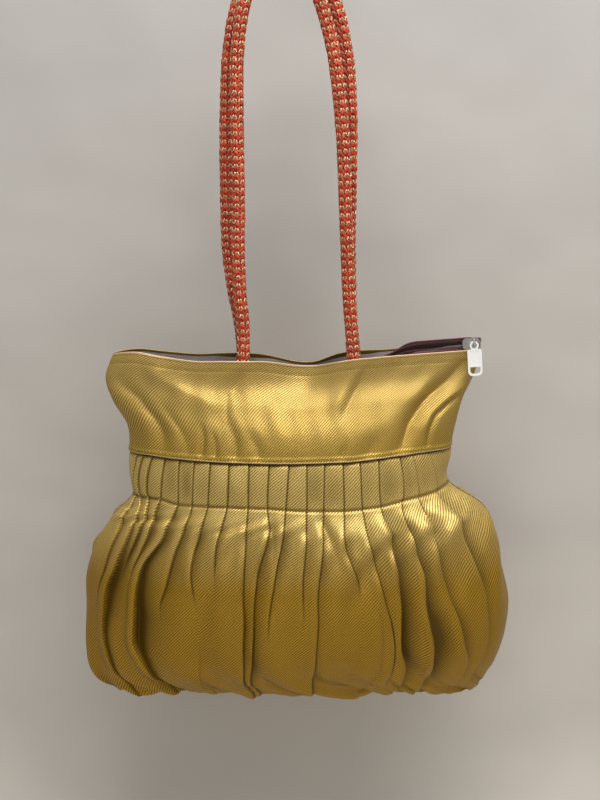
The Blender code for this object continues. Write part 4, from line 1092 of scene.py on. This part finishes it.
START_LINE = slider_line(MIDDLE_X + STRAIGHT_SHARES[1] * MOUTH_HALF_WIDTH)
ALONG = unit(slider_line(MIDDLE_X + STRAIGHT_SHARES[3] * MOUTH_HALF_WIDTH) - START_LINE)
OUT = unit(np.cross(ALONG, np.array([0, math.cos(ZIP_ROLL), math.sin(ZIP_ROLL)])))
ACROSS = unit(np.cross(OUT, ALONG))


def coil_point(x, side):
    """Centre line of a coil at many places."""
    x = np.asarray(x, float)
    gap, edge_z = mouth_edge(share_at(x), side)
    beside = CLOTH + LINING_CLOTH + 2 * GAP + COIL_RADIUS + COIL_ROOM + cord_room(x, COIL_DROP)
    ends_up = 0.0035 * (1.0 - ease(x, ZIP_LEFT_X, ZIP_LEFT_X + 0.020))
    free = np.stack([x, side * np.maximum(gap - beside, LEAST_ZIP_DEPTH), edge_z - COIL_DROP + ends_up], -1)
    offset = mix(COIL_OFFSET, COIL_CLOSED_OFFSET, ease(x, SLIDER_REST_X - 0.001, SLIDER_REST_X + 0.005))
    joined = slider_line(x) + ACROSS * (side * offset)[..., None]
    return mix(free, joined, ease(x, *(FRONT_JOIN if side < 0 else BACK_JOIN))[..., None])


def tape_rows(x, side, count):
    """Rows of points of a tape, from beside its coil to the edge that is sewn to the wall."""
    coil = coil_point(x, side)
    gap, edge_z = mouth_edge(share_at(x), side)
    clear = COIL_RADIUS + 2 * GAP
    below = TAPE_WIDTH + clear
    wall = CLOTH + LINING_CLOTH + 2 * GAP + TAPE_CLOTH + TAPE_ROOM
    at_end = ease(x, TAPE_RISE_X, TAPE_RISE_X + TAPE_RISE_LENGTH)
    if side < 0:
        joined = ease(x, *FRONT_JOIN)
        beside_coil = gap + coil[:, 1] + 2 * GAP * (1 - at_end)
        beside = mix(wall + cord_room(x, COIL_DROP + below), beside_coil, joined)
        sewn_z = mix(coil[:, 2] - below, edge_z + 0.0008, at_end)
        foot = np.stack([x, -np.maximum(gap - beside, LEAST_ZIP_DEPTH), sewn_z], -1)
        top = coil - np.array([0, 0, clear])
        return np.array([mix(top, foot, t) for t in np.linspace(0, 1, count)])
    joined = ease(x, *BACK_JOIN)
    angle = mix(math.radians(-88.0), math.radians(88.0), joined)
    turned = np.stack([np.zeros_like(x), np.cos(angle), np.sin(angle)], -1)
    start = coil + turned * clear
    over = coil + turned * TAPE_ARCH_SHARE * TAPE_STAND
    free_y = np.maximum(gap - wall - cord_room(x, COIL_DROP + below), LEAST_ZIP_DEPTH)
    free = np.stack([x, free_y, edge_z - COIL_DROP - below], -1)
    held_y = np.maximum(gap - wall, LEAST_ZIP_DEPTH)
    held = np.stack([x, held_y, edge_z - mix(0.0035, -0.0008, at_end)], -1)
    sewn = mix(free, held, joined[:, None])
    beyond = slider_line(x) + ACROSS * (SLIDER_HALF_WIDTH - 2 * GAP) - OUT * (SLIDER_REACH + 4 * GAP)
    back = mix(mix(over, sewn, 0.4), beyond, ease(joined, 0.4, 1.0)[:, None])
    rows = []
    for t in np.linspace(0, 1, count):
        knots = [(0.0, start), (0.26, over), (0.55, back), (1.0, sewn)]
        k = min(int(np.searchsorted([knot[0] for knot in knots], t, side="right")) - 1, 2)
        here = (t - knots[k][0]) / (knots[k + 1][0] - knots[k][0])
        rows.append(mix(knots[k][1], knots[k + 1][1], here))
    return np.array(rows)


def zip_tape(name, side, finish):
    x = np.linspace(ZIP_LEFT_X - STOP_LENGTH, ZIP_RIGHT_X, 260)
    grid = tape_rows(x, side, 9)
    weave = np.zeros((*grid.shape[:2], 3))
    weave[..., 0] = x[None, :]
    weave[..., 1] = (np.linspace(0, 1, 9) * TAPE_WIDTH)[:, None]
    obj = grid_object(name, grid, side, finish, {"weave": weave})
    solid = obj.modifiers.new("thickness", "SOLIDIFY")
    solid.thickness = TAPE_CLOTH * 0.9
    solid.offset = 0.0
    return obj


def tube_mesh(name, points, radius, sides, finish):
    """A thin tube along many points, with a steady frame."""
    points = np.asarray(points, float)
    tangent = units(np.gradient(points, axis=0))
    first = units(np.cross(tangent, np.array([0.31, 0.85, 0.42])))
    second = np.cross(tangent, first)
    turns = 2 * math.pi * np.arange(sides) / sides
    ring = first[:, None] * np.cos(turns)[None, :, None] + second[:, None] * np.sin(turns)[None, :, None]
    grid = points[:, None] + ring * np.asarray(radius).reshape(-1, 1, 1)
    return mesh_of(name, grid, grid_faces(len(points), sides, wrap=True), finish)


def zip_coil(name, side, finish):
    """One side of the zip: a fine spiral of nylon along its tape."""
    length = ZIP_RIGHT_X - STOP_LENGTH - ZIP_LEFT_X
    count = int(length / COIL_PITCH * COIL_TURN_POINTS)
    x = np.linspace(ZIP_LEFT_X, ZIP_RIGHT_X - STOP_LENGTH, count)
    centre = coil_point(x, side)
    turn = 2 * math.pi * np.arange(count) / COIL_TURN_POINTS
    flat = COIL_RADIUS * COIL_FLATTENING
    wide = ACROSS * (flat * 1.15 * np.cos(turn))[:, None]
    points = centre + wide + OUT * (flat * 0.75 * np.sin(turn))[:, None]
    return tube_mesh(name, points, COIL_THREAD_RADIUS, 5, finish)


def cord_line(route):
    """Fine points along a cord with its frame: the two directions square to it, and how far along the cord
    each point lies.
    """
    knots = np.array(route)
    lengths = distances(knots)
    rows = np.concatenate([lengths[:, None], knots], axis=1)
    at = np.linspace(0, lengths[-1], CORD_POINTS)
    points = curve_through(rows, at)
    tangent = units(np.gradient(points, axis=0))
    second = units(np.array([0.0, 1.0, 0.0]) - tangent * tangent[:, 1:2])
    first = np.cross(tangent, second)
    return points, first, second, distances(points)


def handle(name, route, red, gold, core):
    """A knitted cord: rows of thick red V stitches with a thin gold V between them, round a core."""
    points, first, second, walked = cord_line(route)
    total = walked[-1]

    def at(length, angle, out):
        length = np.clip(length, 0.0005, total - 0.0005)
        centre, beside, deep = (interpolated(length, walked, part) for part in (points, first, second))
        to_end = np.minimum(length, total - length)
        wide = out * np.cos(angle) * mix(0.80, 1.0, ease(to_end, 0.0, 0.008))
        thin = out * np.sin(angle) * mix(CORD_END_SHARE, 1.0, ease(to_end, 0.0, CORD_TAPER))
        return centre + beside * wide[:, None] + deep * thin[:, None]

    pieces = []
    for kind, radius, out, lift, rise, trim, finish in (
        ("red", 0.00112, 0.00350, 0.0, 0.0044, 0.0, red),
        ("gold", 0.00060, 0.00390, 0.5, 0.0040, 0.27, gold),
    ):
        count = int((total - 0.002) / STITCH_ROW)
        row, leg = np.meshgrid(np.arange(count), np.arange(CORD_COLUMNS), indexing="ij")
        row, leg = row.ravel(), leg.ravel()
        length = 0.001 + (row + 0.5 + lift) * STITCH_ROW
        a = 2 * math.pi * leg / CORD_COLUMNS + math.pi / 2 + CORD_TWIST * length
        b = a + 2 * math.pi / CORD_COLUMNS
        high = np.where(leg % 2 == 0, rise / 2, -rise / 2)
        wobble = rng.normal(0, YARN_JITTER, (len(row), 3))
        radial = np.full(len(row), out)
        start = at(length + high * (1 - 2 * trim), mix(a, b, trim), radial) + wobble
        end = at(length - high * (1 - 2 * trim), mix(b, a, trim), radial) + wobble
        pieces.append(capsules(f"{name}_{kind}", start, end, radius, 6, finish, tones=rng.random(len(row))))
    turns = 2 * math.pi * np.arange(10) / 10
    spots = np.linspace(0.0, total, CORD_CORE_RINGS)
    reach = np.full_like(spots, CORD_CORE_RADIUS)
    ring = np.stack([at(spots, np.full_like(spots, t), reach) for t in turns], axis=1)
    pieces.append(mesh_of(f"{name}_core", ring, grid_faces(len(spots), 10, wrap=True), core))
    whole = pieces[0]
    chosen = {"selected_objects": pieces, "selected_editable_objects": pieces}
    with bpy.context.temp_override(active_object=whole, **chosen):
        bpy.ops.object.join()
    whole.name = name
    return whole


def base_panel(finish):
    """The flat oval that closes the bag below, with its edge turned over."""
    turns = 2 * math.pi * np.arange(160) / 160
    low = MOUTH_Z - BAG_HEIGHT + BASE_LIFT + CLOTH + GAP
    middle = np.array([MIDDLE_X, 0.0, low])
    half_width = BASE_HALF_WIDTH + BASE_TURNING
    half_depth = BASE_HALF_DEPTH + BASE_TURNING
    rim = np.stack([half_width * np.cos(turns), half_depth * np.sin(turns), 0 * turns], -1)
    grid = np.array([middle + rim * share + (0, 0, lift) for share, lift in BASE_ROWS])
    weave = np.stack([grid[..., 0], grid[..., 1], 0 * grid[..., 2]], -1)
    sizes = grid.shape[0] * grid.shape[1]
    fields = {"weave": weave.reshape(sizes, 3), "edge": np.zeros(sizes)}
    return mesh_of("base_oval", grid, grid_faces(*grid.shape[:2], wrap=True), finish, fields)


def wall_and_floor(finish):
    """The pale wall behind the bag, which turns into a floor far below. Only its front can be seen."""
    radius = WALL_CORNER_RADIUS
    corner = [
        (WALL_Y - radius + radius * math.cos(a), FLOOR_Z + radius - radius * math.sin(a))
        for a in np.linspace(math.pi / 2, 0, 13)
    ]
    profile = [(-3.0, FLOOR_Z), *corner, (WALL_Y, 1.8)]
    grid = np.array([[(x, y, z) for x in (-2.5, 2.5)] for y, z in profile])
    mesh_of("wall_and_floor", grid, grid_faces(*grid.shape[:2]), finish, flip=True)


def area_light(name, place, target, size, power, colour):
    lamp = bpy.data.lights.new(name, "AREA")
    lamp.shape = "RECTANGLE"
    lamp.size, lamp.size_y = size
    lamp.energy = power
    lamp.color = colour
    obj = bpy.data.objects.new(name, lamp)
    obj.location = place
    obj.rotation_euler = (Vector(target) - Vector(place)).to_track_quat("-Z", "Y").to_euler()
    bpy.context.scene.collection.objects.link(obj)


def light_and_camera():
    middle = (0.01, 0.0, -0.35)
    area_light("ceiling_light", (0.14, -0.52, 1.00), middle, (1.1, 0.6), 21.0, (1.0, 0.985, 0.965))
    area_light("front_fill", (-0.25, -1.6, 0.15), middle, (1.6, 1.2), 3.0, (1.0, 0.985, 0.97))
    area_light("wall_glow", (0.50, -0.55, 0.55), (0.35, 0.09, -0.05), (0.8, 0.8), 2.5, (1.0, 0.99, 0.98))
    world = bpy.data.worlds.new("room")
    world.use_nodes = True
    ambient = world.node_tree.nodes["Background"]
    ambient.inputs["Color"].default_value = (1.0, 0.98, 0.95, 1.0)
    ambient.inputs["Strength"].default_value = 0.30
    bpy.context.scene.world = world
    bpy.context.scene.view_settings.view_transform = "Standard"
    lens = bpy.data.cameras.new("camera")
    lens.lens = CAMERA_LENS
    lens.sensor_width = 36.0
    lens.clip_start = 0.01
    camera = bpy.data.objects.new("camera", lens)
    camera.location = CAMERA_PLACE
    camera.rotation_euler = (CAMERA_TILT, 0.0, 0.0)
    bpy.context.scene.collection.objects.link(camera)
    bpy.context.scene.camera = camera


def finished(obj, slot, *nodes):
    """Lets a piece hang with the bag, and hides the solids that it stands in for."""
    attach(obj, "bag")
    if nodes:
        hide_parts(*nodes)


light_and_camera()
wall_and_floor(wall_material())

# Two copies of one gold twill, each with its own painted light: paler above and darker below, and the
# skirt's copy is painted palest at the band and just below it.
gold_yoke = twill("gold_twill_yoke", 45.0, (0.660, 0.490, 0.170), (0.560, 0.380, 0.075), (0.02, 0.07))
gold_skirt = twill("gold_twill_skirt", 44.0, (0.960, 0.740, 0.270), (0.500, 0.285, 0.014), (0.040, 0.090))
thread = plain_material("thread", (0.40, 0.27, 0.055), 0.5, 0.25, 0.00006, 1500.0, (0.25, 0.15, 0.02))
seam_thread = plain_material(
    "seam_thread", (0.42, 0.31, 0.025), 0.55, 0.1, 0.00006, 1500.0, (0.27, 0.18, 0.012)
)
satin = lining_material()
maroon = tape_material()
nylon = plain_material("coil_nylon", (0.115, 0.030, 0.040), 0.42, 0.0)
# The pull and the slider are one metal in two copies: the pull is painted near-white and barely metallic, a
# painted reflection, and the slider and stops take a darker copy, painted shade.
pull_painted_bright = metal_material("pull_metal", (1.0, 1.0, 0.99), (0.96, 0.96, 0.945), 0.22)
zip_metal_painted_darker = metal_material("slider_metal", (0.70, 0.70, 0.68), (0.52, 0.52, 0.50), 0.95)
red = yarn_material("red_yarn", (0.640, 0.062, 0.008), (0.300, 0.010, 0.002), 0.50, 0.10, 0.08)
gold = yarn_material("gold_yarn", (0.840, 0.680, 0.430), (0.440, 0.310, 0.140), 0.32, 0.5, 0.0)
core = plain_material("cord_core", (0.085, 0.012, 0.006), 0.8)

for label, route, length in (("front", FRONT_CORD, 0.565), ("back", BACK_CORD, 0.576)):
    cord = handle(f"{label}_handle_cord", route, red, gold, core)
    finished(cord, "cord_yarn", f"handle_{label}")

for label, side, folds in (("front", -1, YOKE_FOLDS), ("back", 1, BACK_YOKE_FOLDS)):
    density = DENSITY[label]
    panel, outer, normal, levels = yoke(f"{label}_yoke_cloth", side, *density[:2], gold_yoke, folds)
    finished(panel, "gold_satin", f"{label}_yoke")
    wall, grid, beside, drops = skirt(f"{label}_skirt_cloth", side, *density[2:], gold_skirt)
    finished(wall, "gold_satin", f"{label}_skirt")
    for place, cloth, stitched, trim, yarn in (
        ("yoke", (outer, normal, levels), (EDGE_STITCH_DROP, TOPSTITCH_DROP), 9, thread),
        ("seam", (outer, normal, levels), [YOKE_HEIGHT - above for above in SEAM_STITCHES], 9, seam_thread),
        ("band", (grid, beside, drops), (BAND_END,), 8, thread),
    ):
        lines = [(*line_on(*cloth, level), trim) for level in stitched]
        finished(stitches(f"{label}_{place}_stitches", lines, yarn), "gold_satin")
    tape = zip_tape(f"{label}_zip_tape", side, maroon)
    finished(tape, "zip_tape", f"zip_tape_{label}")
    finished(zip_coil(f"{label}_zip_coil", side, nylon), "zip_coil", f"zip_coil_{label}")

pouch = lining(satin)
finished(pouch, "lining_satin", "lining")
finished(base_panel(gold_yoke), "gold_satin", "base_panel")

for node in ("zip_slider", "zip_pull", "zip_bottom_stop", "zip_top_stop_front", "zip_top_stop_back"):
    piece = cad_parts[node]
    piece.data.materials.clear()
    piece.data.materials.append(pull_painted_bright if node == "zip_pull" else zip_metal_painted_darker)
